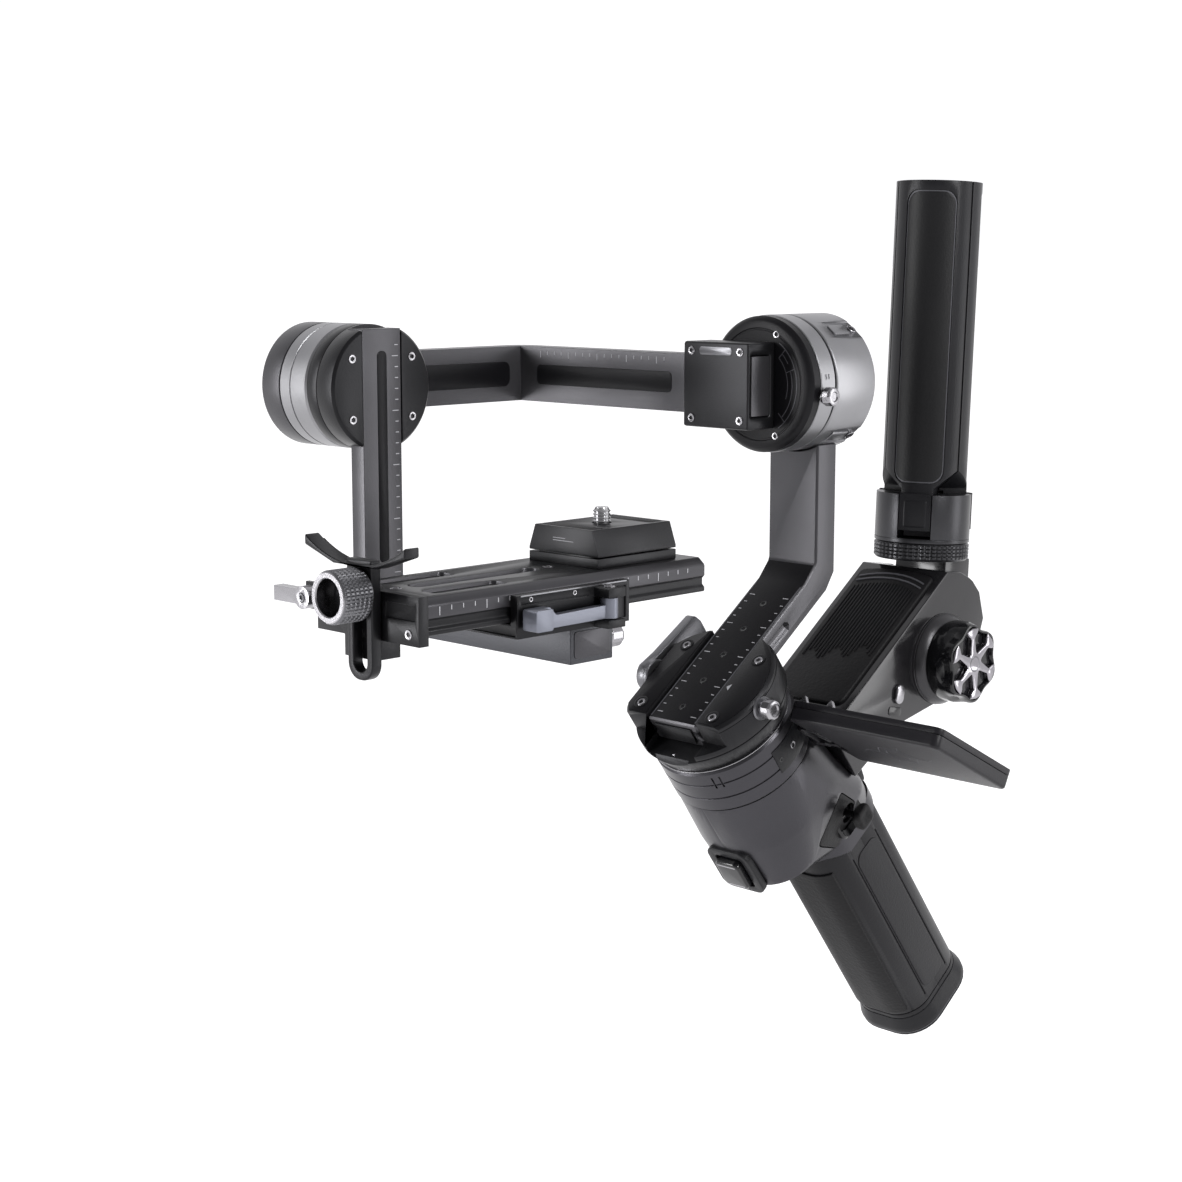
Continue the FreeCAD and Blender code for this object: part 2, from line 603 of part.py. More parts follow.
def plate_clamp():
    gap = d.slide_gap
    half = d.clamp_half
    tray = box((-half, half), (-66, -14), (d.bar_top, -15.7))
    channel = box((-d.plate_half - gap, d.plate_half + gap), (-70, -10), (d.plate_bottom - gap, 0))
    ears = [box((half, 34), (-31, -23), span) for span in ((-30, -27.3), (-19.7, -16.5))]
    pivot = rod("z", LEVER_PIVOT, 1.5, (-27.3, -19.7))
    node("plate_clamp", fuse(cut(tray, channel), pivot, *ears))
    lever = fuse(rod("z", LEVER_PIVOT, 3.0, (-27, -20)), box((28.2, 31.6), (-62, -27), (-27, -20)),
                 box((28.2, 35.0), (-65, -57), (-27, -20)))
    node("plate_clamp_lever", cut(lever, rod("z", LEVER_PIVOT, 1.6, (-30, -18))))


def camera_plates():
    half, low, top = d.plate_half, d.plate_bottom, d.plate_top
    outline = [(d.plate_front, low), (d.plate_rear, low), (d.plate_rear, top), (d.plate_front, top)]
    plate = prism("YZ_Plane", outline, (-half, half))
    bevels = []
    for side in (-1, 1):
        strip = box((-3, 3), (-110, 40), (-6, 6))
        turn = Placement(Vector(side * 26.0, 0, -12.0), Rotation(Vector(0, 1, 0), -side * 35))
        strip.Placement = turn * strip.Placement
        bevels.append(strip)
    channel = box((-3.6, 3.6), (-88, -32), (-16, -12))
    node("long_plate", cut(plate, channel, *bevels))
    foot = prism("YZ_Plane", [(d.riser_front, top), (d.riser_rear, top), (d.riser_rear, 0), (d.riser_front, 0)],
                 (-d.riser_half - 3, d.riser_half + 3))
    tapers = []
    for side in (-1, 1):
        strip = box((-3, 3), (-30, 30), (-9, 9))
        turn = Placement(Vector(side * 18.4, 0, -3.2), Rotation(Vector(0, 1, 0), -side * 20))
        strip.Placement = turn * strip.Placement
        tapers.append(strip)
    bores = [rod("z", (0, 0), 3.5, (-14, 1)), rod("z", (0, 0), 8.3, (-14, -5.5))]
    node("riser_plate", cut(foot, *(tapers + bores)))
    head = cut(rod("z", (0, 0), 7.8, (-12.0, -6.0)), box((-6, 6), (-0.8, 0.8), (-13, -10.5)))
    node("camera_screw", fuse(head, rod("z", (0, 0), 2.6, (-6.0, 0)), rod("z", (0, 0), d.thread_radius, (0, 5.5))))


def lens_support():
    front = d.plate_front
    axis = (0, d.lens_knob_z)
    bar = box((-27, 24), (front - 4, front), (-28, -12))
    toe = box((-13, 3), (front - 4, front + 6), (-35, -28))
    ear = box((-36, -27), (front - 1.7, front), (-22.5, -13.5))
    pivot = rod("y", (-31.5, -18), 1.6, (front - 7, front - 1.7))
    bore = rod("y", axis, 2.6, (front - 10, front - 0.6))
    node("lens_bracket", cut(fuse(bar, toe, ear, pivot), bore))
    stem = box((-6.2, 6.2), (front - 8.3, front - 4.3), (-41, -2))
    stem = soften(stem, 5.6, lambda p, length: p.z < -40.9 and length < 5)
    slot = fuse(box((-3.3, 3.3), (-130, -90), (-35, -10)), rod("y", (0, -35), 3.3, (-130, -90)))
    saddle = box((-25, 25), (front - 10.3, front - 4.3), (-4, 6))
    lens = rod("y", (0, 41), 44.6, (-130, -90))
    undercuts = []
    for side in (-1, 1):
        strip = box((-16, 16), (-130, -90), (-10, 0))
        turn = Placement(Vector(side * 18, 0, -1.6), Rotation(Vector(0, 1, 0), -side * 18))
        strip.Placement = turn * strip.Placement
        undercuts.append(strip)
    cradle = cut(saddle, lens, *undercuts)
    node("lens_stem", cut(fuse(stem, cradle), slot))
    reach = d.lens_knob_radius
    grip_ring = cut(rod("y", axis, reach, (front - 21, front - 8.7)), rod("y", axis, 6.0, (front - 22, front - 14)))
    node("lens_knob", fuse(grip_ring, rod("y", axis, 2.5, (front - 8.7, front - 1))))
    paddle = fuse(rod("y", (-31.5, -18), 3.8, (front - 7, front - 2)), box((-47, -31.5), (front - 6.5, front - 2.5),
                                                                         (-20.5, -15.5)))
    node("lens_lever", cut(paddle, rod("y", (-31.5, -18), 1.7, (-120, -90))))


# ---------------------------------------------------------------- assemble, check and write

def main():
    motors()
    body_shells()
    handle()
    controls()
    screen()
    sling()
    grip()
    pan_clamp()
    pan_arm()
    roll_stage()
    tilt_stage()
    plate_clamp()
    camera_plates()
    lens_support()
    doc.recompute()
    for item in doc.Objects:
        if "Invalid" in item.State or "Error" in item.State:
            raise RuntimeError("%s (%s) did not build: %s" % (item.Label, item.Name, item.State))
    os.makedirs("parts", exist_ok=True)
    for item in NODES:
        shape = item.Shape
        if shape.isNull() or not shape.isValid() or not shape.Solids:
            raise RuntimeError("%s has no valid solid" % item.Label)
        shape.exportStep("parts/%s.step" % item.Label)
        print("%-22s solids %d volume %9.1f" % (item.Label, len(shape.Solids), shape.Volume))
    print("%d nodes" % len(NODES))


main()
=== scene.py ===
"""The camera gimbal's looks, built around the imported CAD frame.

Pieces are drawn in millimetres in the frames of the CAD joints and handed to Blender in metres."""

import json
import math

import bmesh
import bpy
from mathutils import Matrix, Vector


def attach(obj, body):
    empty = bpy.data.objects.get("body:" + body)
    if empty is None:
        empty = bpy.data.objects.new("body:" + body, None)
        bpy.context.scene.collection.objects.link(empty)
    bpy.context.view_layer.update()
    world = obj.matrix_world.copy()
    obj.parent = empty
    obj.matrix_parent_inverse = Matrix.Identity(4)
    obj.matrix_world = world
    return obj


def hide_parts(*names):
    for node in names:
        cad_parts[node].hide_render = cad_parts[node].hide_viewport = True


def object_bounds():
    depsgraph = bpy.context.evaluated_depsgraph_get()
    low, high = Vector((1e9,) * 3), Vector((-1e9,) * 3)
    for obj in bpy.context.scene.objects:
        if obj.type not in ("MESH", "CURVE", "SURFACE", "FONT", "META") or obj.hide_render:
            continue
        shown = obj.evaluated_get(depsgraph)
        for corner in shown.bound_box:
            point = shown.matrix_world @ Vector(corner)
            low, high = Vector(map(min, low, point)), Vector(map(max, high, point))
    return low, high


MM = 0.001
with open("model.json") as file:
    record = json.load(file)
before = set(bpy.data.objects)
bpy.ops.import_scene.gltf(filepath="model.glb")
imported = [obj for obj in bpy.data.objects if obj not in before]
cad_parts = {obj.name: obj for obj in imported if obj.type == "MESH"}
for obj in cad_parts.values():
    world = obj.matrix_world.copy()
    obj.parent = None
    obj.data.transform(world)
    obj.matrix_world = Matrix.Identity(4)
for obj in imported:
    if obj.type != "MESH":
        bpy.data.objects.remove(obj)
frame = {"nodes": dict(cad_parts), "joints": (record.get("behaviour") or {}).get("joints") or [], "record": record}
cad_low, cad_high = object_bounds()
JOINTS = {joint["name"]: joint for joint in frame["joints"]}
BODY_OF_NODE = {node: body for body, nodes in frame["record"]["behaviour"]["bodies"].items()
                for node in nodes}


# ---------------------------------------------------------------- frames, from the CAD joints

def axes_matrix(origin, x_axis, y_axis, z_axis):
    rotation = Matrix((x_axis, y_axis, z_axis)).transposed().to_4x4()
    return Matrix.Translation(origin) @ rotation


def spot(joint):
    return Vector(JOINTS[joint]["pos_m"])


def direction(joint):
    return Vector(JOINTS[joint]["axis"]).normalized()


X_AXIS = Vector((1, 0, 0))
WORLD = Matrix.Identity(4)
PAN = axes_matrix(spot("pan_spin"), X_AXIS, direction("pan_spin").cross(X_AXIS), direction("pan_spin"))
ROLL = axes_matrix(spot("roll_spin"), X_AXIS, Vector((0, 0, 1)), Vector((0, -1, 0)))
TILT = axes_matrix(spot("tilt_spin"), Vector((0, 0, -1)), Vector((0, 1, 0)), X_AXIS)
SCREEN_Y = direction("screen_open")
SCREEN = axes_matrix(spot("screen_open"), X_AXIS, SCREEN_Y, X_AXIS.cross(SCREEN_Y))
HUB = (spot("leg_1_open") + spot("leg_2_open") + spot("leg_3_open")) / 3
HUB_Z = (spot("leg_2_open") - spot("leg_1_open")).cross(spot("leg_3_open") - spot("leg_1_open")).normalized()
GRIP = axes_matrix(HUB, X_AXIS, HUB_Z.cross(X_AXIS), HUB_Z)
KNOB = axes_matrix(spot("sling_knob_turn"), direction("pan_spin").cross(X_AXIS), direction("pan_spin"),
                   X_AXIS)


def turned_frame(base, degrees, axis="Z"):
    return base @ Matrix.Rotation(math.radians(degrees), 4, axis)


def moved_frame(base, x=0.0, y=0.0, z=0.0):
    return base @ Matrix.Translation(Vector((x, y, z)) * MM)


# ---------------------------------------------------------------- materials

def link(tree, source, output, target, socket):
    tree.links.new(source.outputs[output], target.inputs[socket])


PAINT = {}


def material(name, color, rough, metallic=0.0, grain=900.0, bump=0.08, mottle=0.12, stretch=(1, 1, 1),
             coat=0.0,
             scuffs=0.06):
    """A surface with fine grain in its relief, soft mottling in its colour and uneven gloss."""
    made = bpy.data.materials.new(name)
    made.use_nodes = True
    tree = made.node_tree
    shader = tree.nodes["Principled BSDF"]
    shader.inputs["Metallic"].default_value = metallic
    shader.inputs["Specular IOR Level"].default_value = 0.2 if metallic < 0.4 else 0.5
    shader.inputs["Coat Weight"].default_value = coat
    shader.inputs["Coat Roughness"].default_value = 0.12
    place = tree.nodes.new("ShaderNodeTexCoord")
    mapping = tree.nodes.new("ShaderNodeMapping")
    mapping.inputs["Scale"].default_value = stretch
    link(tree, place, "Object", mapping, "Vector")

    fine = tree.nodes.new("ShaderNodeTexNoise")
    fine.inputs["Scale"].default_value = grain
    fine.inputs["Detail"].default_value = 4.0
    link(tree, mapping, "Vector", fine, "Vector")
    relief = tree.nodes.new("ShaderNodeBump")
    relief.inputs["Strength"].default_value = bump
    relief.inputs["Distance"].default_value = 0.0004
    link(tree, fine, "Fac", relief, "Height")
    link(tree, relief, "Normal", shader, "Normal")

    broad = tree.nodes.new("ShaderNodeTexNoise")
    broad.inputs["Scale"].default_value = 22.0
    broad.inputs["Detail"].default_value = 5.0
    link(tree, place, "Object", broad, "Vector")
    tint = tree.nodes.new("ShaderNodeValToRGB")
    dark = [channel * (1 - mottle) for channel in color]
    light = [min(1.0, channel * (1 + mottle)) for channel in color]
    tint.color_ramp.elements[0].position = 0.35
    tint.color_ramp.elements[1].position = 0.68
    tint.color_ramp.elements[0].color = (*dark, 1)
    tint.color_ramp.elements[1].color = (*light, 1)
    link(tree, broad, "Fac", tint, "Fac")
    link(tree, tint, "Color", shader, "Base Color")

    gloss = tree.nodes.new("ShaderNodeMapRange")
    gloss.inputs["To Min"].default_value = rough - scuffs
    gloss.inputs["To Max"].default_value = rough + scuffs
    link(tree, broad, "Fac", gloss, "Value")
    link(tree, gloss, "Result", shader, "Roughness")
    PAINT[name] = made


material("black_anodised", (0.011, 0.011, 0.0125), 0.36, 0.70, 1400, 0.10)
material("drum_grey", (0.25, 0.25, 0.26), 0.36, 0.95, 1600, 0.08)
material("disc_black", (0.0055, 0.0053, 0.0065), 0.38, 0.3, 1500, 0.10)
material("arm_grey", (0.060, 0.059, 0.064), 0.36, 0.75, 1500, 0.10)
material("shell_plastic", (0.009, 0.009, 0.0105), 0.40, 0.0, 1100, 0.16)
material("shell_satin", (0.040, 0.039, 0.044), 0.30, 0.8, 1500, 0.08)
material("handle_plastic", (0.0068, 0.0066, 0.008), 0.42, 0.0, 1200, 0.18)
material("rubber", (0.0035, 0.0033, 0.004), 0.55, 0.0, 700, 0.45, 0.2)
material("sling_gloss", (0.014, 0.0135, 0.015), 0.17, 0.35, 1800, 0.03, 0.06, coat=0.5)
material("gloss_black", (0.005, 0.005, 0.006), 0.20, 0.0, 900, 0.04, 0.15, coat=0.4)
material("control_plastic", (0.006, 0.006, 0.007), 0.24, 0.0, 1000, 0.05, 0.15, coat=0.3)
material("screen_plastic", (0.009, 0.0085, 0.0105), 0.38, 0.0, 1300, 0.14)
material("display_glass", (0.004, 0.004, 0.006), 0.09, 0.0, 300, 0.01, 0.1, coat=1.0, scuffs=0.03)
material("silver_metal", (0.30, 0.295, 0.31), 0.25, 1.0, 1800, 0.06, 0.06)
material("dull_silver", (0.15, 0.15, 0.16), 0.32, 0.9, 1600, 0.08, 0.08)
material("blue_grey_lever", (0.15, 0.158, 0.19), 0.38, 0.55, 1500, 0.08)
material("plate_black", (0.009, 0.009, 0.0105), 0.38, 0.6, 1500, 0.10)
material("plate_side", (0.052, 0.051, 0.056), 0.34, 0.75, 1400, 0.10, stretch=(1, 0.15, 1))
material("slate_block", (0.034, 0.035, 0.041), 0.38, 0.5, 1400, 0.10)
material("steel", (0.50, 0.50, 0.51), 0.28, 1.0, 1500, 0.06, 0.06)
material("copper_windings", (0.55, 0.23, 0.10), 0.34, 1.0, 500, 0.5, 0.2)
material("cell_wrap", (0.04, 0.12, 0.30), 0.30, 0.0, 600, 0.05)
material("board_green", (0.015, 0.10, 0.04), 0.45, 0.0, 800, 0.2, 0.3)
material("boss_grey", (0.036, 0.035, 0.038), 0.34, 0.6, 1600, 0.06, 0.1)
material("chrome", (0.30, 0.29, 0.31), 0.12, 1.0, 1500, 0.02, 0.03, scuffs=0.03)
material("leg_plastic", (0.010, 0.010, 0.0115), 0.34, 0.2, 1300, 0.12)
material("leg_panel", (0.0055, 0.0055, 0.0062), 0.42, 0.0, 1200, 0.20)
material("collar_grey", (0.038, 0.038, 0.041), 0.32, 0.85, 1400, 0.10)
material("mark_white", (0.34, 0.34, 0.36), 0.50, 0.0, 900, 0.05, 0.05)
material("line_grey", (0.075, 0.075, 0.083), 0.45, 0.3, 900, 0.05, 0.05)


# ---------------------------------------------------------------- mesh building, in millimetres

def piece(name, verts, faces, place, paint, body, smooth=40.0):
    """A mesh from points in a local frame, riding on a CAD body."""
    mesh = bpy.data.meshes.new(name)
    mesh.from_pydata([place @ (Vector(point) * MM) for point in verts], [], faces)
    made = bpy.data.objects.new(name, mesh)
    bpy.context.scene.collection.objects.link(made)
    clean(mesh)
    mesh.materials.append(PAINT[paint])
    made["smooth_angle"] = smooth
    made["body"] = body
    return made


def clean(mesh):
    work = bmesh.new()
    work.from_mesh(mesh)
    bmesh.ops.remove_doubles(work, verts=work.verts, dist=1e-7)
    bmesh.ops.recalc_face_normals(work, faces=work.faces)
    work.to_mesh(mesh)
    work.free()


def ring_faces(count, low, high):
    return [(low + i, low + (i + 1) % count, high + (i + 1) % count, high + i) for i in range(count)]


def stack(name, rings, place, paint, body, smooth=40.0):
    """A closed skin through rings of points, with a flat face at each end."""
    count = len(rings[0])
    verts = [point for ring in rings for point in ring]
    faces = []
    for index in range(len(rings) - 1):
        faces += ring_faces(count, index * count, (index + 1) * count)
    last = (len(rings) - 1) * count
    faces += [tuple(range(count))[::-1], tuple(range(last, last + count))]
    return piece(name, verts, faces, place, paint, body, smooth)


def extrude(name, outline, low, high, place, paint, body):
    """An outline in the local XY plane, pushed along Z."""
    return stack(name, [[(x, y, low) for x, y in outline], [(x, y, high) for x, y in outline]], place, paint,
                 body)


def lathe(name, profile, place, paint, body, steps=96, smooth=30.0):
    """A profile of (radius, height) turned about local Z; it closes on itself if it leaves the axis free."""
    hollow = min(radius for radius, _ in profile) > 1e-6
    verts, faces, index = [], [], []
    for radius, height in profile:
        if radius < 1e-6:
            index.append([len(verts)] * steps)
            verts.append((0, 0, height))
            continue
        index.append(list(range(len(verts), len(verts) + steps)))
        verts += circle(radius, height, steps)
    pairs = list(zip(index, index[1:]))
    if hollow:
        pairs.append((index[-1], index[0]))
    for first, second in pairs:
        for i in range(steps):
            j = (i + 1) % steps
            corners = [first[i], first[j], second[j], second[i]]
            unique = [corner for k, corner in enumerate(corners) if corner not in corners[:k]]
            if len(unique) > 2:
                faces.append(tuple(unique))
    return piece(name, verts, faces, place, paint, body, smooth)


def hoop(name, rings, place, paint, body, smooth=40.0):
    """A closed band: rings of points joined in turn, the last to the first."""
    count = len(rings[0])
    verts = [point for ring in rings for point in ring]
    faces = []
    for index in range(len(rings)):
        faces += ring_faces(count, index * count, (index + 1) % len(rings) * count)
    return piece(name, verts, faces, place, paint, body, smooth)


def block(name, x, y, z, place, paint, body):
    outline = [(x[0], y[0]), (x[1], y[0]), (x[1], y[1]), (x[0], y[1])]
    return extrude(name, outline, z[0], z[1], place, paint, body)


def disc(name, radius, low, high, place, paint, body, steps=64):
    return lathe(name, [(0, low), (radius, low), (radius, high), (0, high)], place, paint, body, steps)


def arc(centre, radius, start, end, steps=12):
    """Points on an arc, in degrees."""
    turns = [math.radians(start + (end - start) * i / steps) for i in range(steps + 1)]
    return [(centre[0] + radius * math.cos(t), centre[1] + radius * math.sin(t)) for t in turns]


def round_rect(x, y, radius, steps=6):
    """A rectangle with circular corners, anticlockwise."""
    (x0, x1), (y0, y1) = x, y
    corners = ((x1 - radius, y1 - radius, 0), (x0 + radius, y1 - radius, 90), (x0 + radius, y0 + radius, 180),
               (x1 - radius, y0 + radius, 270))
    points = []
    for cx, cy, start in corners:
        points += arc((cx, cy), radius, start, start + 90, steps)
    return points


def rounded(points, radius, steps=6):
    """A closed outline with its corners rounded; radius is one number or one per corner."""
    count = len(points)
    radii = radius if isinstance(radius, (list, tuple)) else [radius] * count
    result = []
    for i, corner in enumerate(points):
        before, here, after = Vector(points[i - 1]), Vector(corner), Vector(points[(i + 1) % count])
        into, out = (before - here), (after - here)
        half = into.angle(out) / 2
        if radii[i] < 1e-6 or half < 1e-3:
            result.append(tuple(here))
            continue
        reach = min(radii[i] / math.tan(half), 0.49 * into.length, 0.49 * out.length)
        start, end = here + into.normalized() * reach, here + out.normalized() * reach
        for k in range(steps + 1):
            t = k / steps
            result.append(tuple(start * (1 - t) ** 2 + here * 2 * t * (1 - t) + end * t ** 2))
    return result


def apply_modifiers(made):
    graph = bpy.context.evaluated_depsgraph_get()
    mesh = bpy.data.meshes.new_from_object(made.evaluated_get(graph))
    old = made.data
    made.modifiers.clear()
    made.data = mesh
    bpy.data.meshes.remove(old)


def carve(made, *cutters, union=False):
    """Cut the cutters out of a piece, or weld them to it, and remove them."""
    for cutter in cutters:
        change = made.modifiers.new("cut", "BOOLEAN")
        change.operation = "UNION" if union else "DIFFERENCE"
        change.solver = "EXACT"
        change.object = cutter
        apply_modifiers(made)
        bpy.data.objects.remove(cutter)
    return made


def edge(made, width, segments=3, angle=32.0):
    """Round the sharp edges of a piece."""
    change = made.modifiers.new("edge", "BEVEL")
    change.width = width * MM
    change.segments = segments
    change.limit_method = "ANGLE"
    change.angle_limit = math.radians(angle)
    change.harden_normals = False
    change.use_clamp_overlap = True
    change.miter_outer = "MITER_ARC"
    apply_modifiers(made)
    return made


def finish_piece(made, *replaced):
    """Shade a piece, hand it to its body and let it stand for its CAD nodes."""
    for face in made.data.polygons:
        face.use_smooth = True
    made.data.set_sharp_from_angle(angle=math.radians(made["smooth_angle"]))
    body = made["body"]
    del made["smooth_angle"], made["body"]
    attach(made, body)
    if replaced:
        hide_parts(*replaced)
    return made


# ---------------------------------------------------------------- shared details

def facing(base, point, normal, along=(0, 0, 1)):
    """A frame at a point of a base frame, with Z along a normal and X near a second direction."""
    z_axis = Vector(normal).normalized()
    x_axis = Vector(along)
    x_axis = (x_axis - z_axis * x_axis.dot(z_axis)).normalized()
    return base @ axes_matrix(Vector(point) * MM, x_axis, z_axis.cross(x_axis), z_axis)


def side_on(base):
    """The base frame seen from its X side: X runs along the base's Y, and Z along its X."""
    return facing(base, (0, 0, 0), (1, 0, 0), (0, 1, 0))


def front_on(base):
    """The base frame seen from the front: X stays, and Z runs towards the base's -Y."""
    return facing(base, (0, 0, 0), (0, -1, 0), (1, 0, 0))


def from_cad(node, paint):
    """A CAD node's shape as a fresh piece with merged flat faces, ready for details and softer edges."""
    source = frame["nodes"][node].data
    faces = [tuple(face.vertices) for face in source.polygons]
    made = piece(node.replace("_", "-"), [vert.co / MM for vert in source.vertices], faces, WORLD, paint,
                 BODY_OF_NODE[node])
    work = bmesh.new()
    work.from_mesh(made.data)
    bmesh.ops.remove_doubles(work, verts=work.verts, dist=2e-6)
    bmesh.ops.dissolve_limit(work, angle_limit=math.radians(0.7), verts=work.verts, edges=work.edges)
    work.to_mesh(made.data)
    work.free()
    return made


def dress(node, paint, width, segments=3, angle=32.0, tools=()):
    """A CAD node's own shape with details carved in and softer edges, standing for the node."""
    return finish_piece(edge(carve(from_cad(node, paint), *tools), width, segments, angle), node)


def pad(name, x, y, corner, span, place, paint, body, soft, steps=4, segments=2):
    """A plate with rounded corners and soft edges, set on a surface."""
    made = extrude(name, round_rect(x, y, corner, steps), *span, place, paint, body)
    return finish_piece(edge(made, soft, segments))


def tick_marks(count, first, step, every, lengths, top, depth, half=0.16):
    """Boxes for a scale along X: each tick runs from top by its length, every so many a long one."""
    boxes = []
    for index in range(count):
        middle = first + index * step
        end = top - lengths[0 if index % every == 0 else 1]
        boxes.append(((middle - half, middle + half), (min(top, end), max(top, end)), depth))
    return boxes


def paint_faces(made, paint, chosen):
    """A second material on the faces whose centre (mm) and normal pass a test."""
    slot = len(made.data.materials)
    made.data.materials.append(PAINT[paint])
    for face in made.data.polygons:
        if chosen(face.center / MM, face.normal):
            face.material_index = slot
    return made


def slabs(name, boxes, place, paint, body):
    """Many thin boxes as one mesh: scale marks, printed lines, ribs and painted highlight strips."""
    verts, faces = [], []
    for (x0, x1), (y0, y1), (z0, z1) in boxes:
        start = len(verts)
        verts += [(x, y, z) for z in (z0, z1) for x, y in ((x0, y0), (x1, y0), (x1, y1), (x0, y1))]
        faces += [tuple(start + i for i in (3, 2, 1, 0)), tuple(start + i for i in (4, 5, 6, 7))]
        faces += [tuple(start + i for i in (k, (k + 1) % 4, 4 + (k + 1) % 4, 4 + k)) for k in range(4)]
    return piece(name, verts, faces, place, paint, body)


def line_plate(name, strokes, width, low, high, place, paint, body):
    """Thin raised strokes, each a run of points in the local XY plane."""
    verts, faces = [], []
    for stroke in strokes:
        for (x0, y0), (x1, y1) in zip(stroke, stroke[1:]):
            run = Vector((x1 - x0, y1 - y0))
            side = Vector((-run.y, run.x)).normalized() * width * 0.5
            start = len(verts)
            corners = [(x0 - side.x, y0 - side.y), (x1 - side.x, y1 - side.y), (x1 + side.x, y1 + side.y),
                       (x0 + side.x, y0 + side.y)]
            verts += [(x, y, z) for z in (low, high) for x, y in corners]
            faces += [tuple(start + i for i in (3, 2, 1, 0)), tuple(start + i for i in (4, 5, 6, 7))]
            faces += [tuple(start + i for i in (k, (k + 1) % 4, 4 + (k + 1) % 4, 4 + k)) for k in range(4)]
    return piece(name, verts, faces, place, paint, body)


def ring_of(reaches, height):
    """Points round Z at even turns, each at its own distance."""
    turn = 2 * math.pi / len(reaches)
    return [(reach * math.cos(turn * i), reach * math.sin(turn * i), height)
            for i, reach in enumerate(reaches)]


def circle(radius, height, count=48):
    return ring_of([radius] * count, height)


def sided(radius, height, sides, count=48):
    """A polygon with flat sides, sampled at the same angles as a circle."""
    turn, wedge = 2 * math.pi / count, 2 * math.pi / sides
    offs = [turn * i % wedge - wedge / 2 for i in range(count)]
    return ring_of([radius * math.cos(wedge / 2) / math.cos(off) for off in offs], height)


def lobed(radius, dip, height, lobes=6, count=120):
    """A ring that swells into rounded lobes, with the first lobe on the X axis."""
    turn = lobes * 2 * math.pi / count
    return ring_of([radius - dip * (0.5 - 0.5 * math.cos(turn * i)) for i in range(count)], height)


def screw(name, place, radius, body, paint="silver_metal", head=0.5):
    """A socket screw's head: chamfered rim and a six-sided socket; Z is outward and zero is the surface."""
    rings = [circle(radius, -0.3), circle(radius, head - 0.15), circle(radius - 0.15, head),
             circle(radius * 0.62, head), sided(radius * 0.55, head - 0.06, 6),
             sided(radius * 0.50, head - 0.7, 6)]
    return finish_piece(stack(name, rings, place, paint, body, 30))


def screw_ring(name, place, reach, height, turns, radius, body, paint="silver_metal", head=0.5):
    """Screws round an axis, one at each turn in degrees."""
    for index, turn in enumerate(turns, start=1):
        angle = math.radians(turn)
        spot_frame = moved_frame(place, reach * math.cos(angle), reach * math.sin(angle), height)
        screw("%s-%d" % (name, index), spot_frame, radius, body, paint, head)


def lock_knob(name, place, radius, length, body, *nodes):
    """A pull knob: a slim neck, a head with flat facets and a dished end."""
    rings = [circle(2.0, -9.0), circle(2.0, 0.0), circle(radius * 0.78, 0.0), circle(radius * 0.78, 0.7),
             sided(radius * 0.94, 1.0, 10), sided(radius, 1.5, 10), sided(radius, length - 1.0, 10),
             sided(radius * 0.90, length - 0.2, 10), circle(radius * 0.72, length),
             circle(radius * 0.55, length),
             circle(radius * 0.45, length - 0.5)]
    return finish_piece(stack(name, rings, place, "silver_metal", body, 22), *nodes)


def knurled(name, place, outer, inner, span, body, paint, teeth, rows, *nodes):
    """A hollow ring with a square grip pattern on its outside."""
    per_tooth, depth, chamfer, plain_edge = 4, 0.4, 0.8, 0.6
    low, high = span
    count = teeth * per_tooth
    pitch = (high - low - 2 * plain_edge) / rows
    rings = [circle(inner, low, count), circle(outer - chamfer, low, count),
             circle(outer - depth, low + 0.5, count)]
    for row in range(rows):
        start = low + plain_edge + row * pitch
        for share, groove in ((0, True), (0.22, False), (0.78, False), (1, True)):
            reaches = [outer - depth if groove or i % per_tooth == 0 else outer for i in range(count)]
            rings.append(ring_of(reaches, start + share * pitch))
    rings += [circle(outer - depth, high - 0.5, count), circle(outer - chamfer, high, count),
              circle(inner, high, count)]
    made = stack(name, rings, place, paint, body, 25)
    work = bmesh.new()
    work.from_mesh(made.data)
    ends = [face for face in work.faces if len(face.verts) == count]
    bmesh.ops.delete(work, geom=ends, context="FACES")
    bmesh.ops.bridge_loops(work, edges=[rim for rim in work.edges if rim.is_boundary])
    bmesh.ops.recalc_face_normals(work, faces=work.faces)
    work.to_mesh(made.data)
    work.free()
    return finish_piece(made, *nodes)


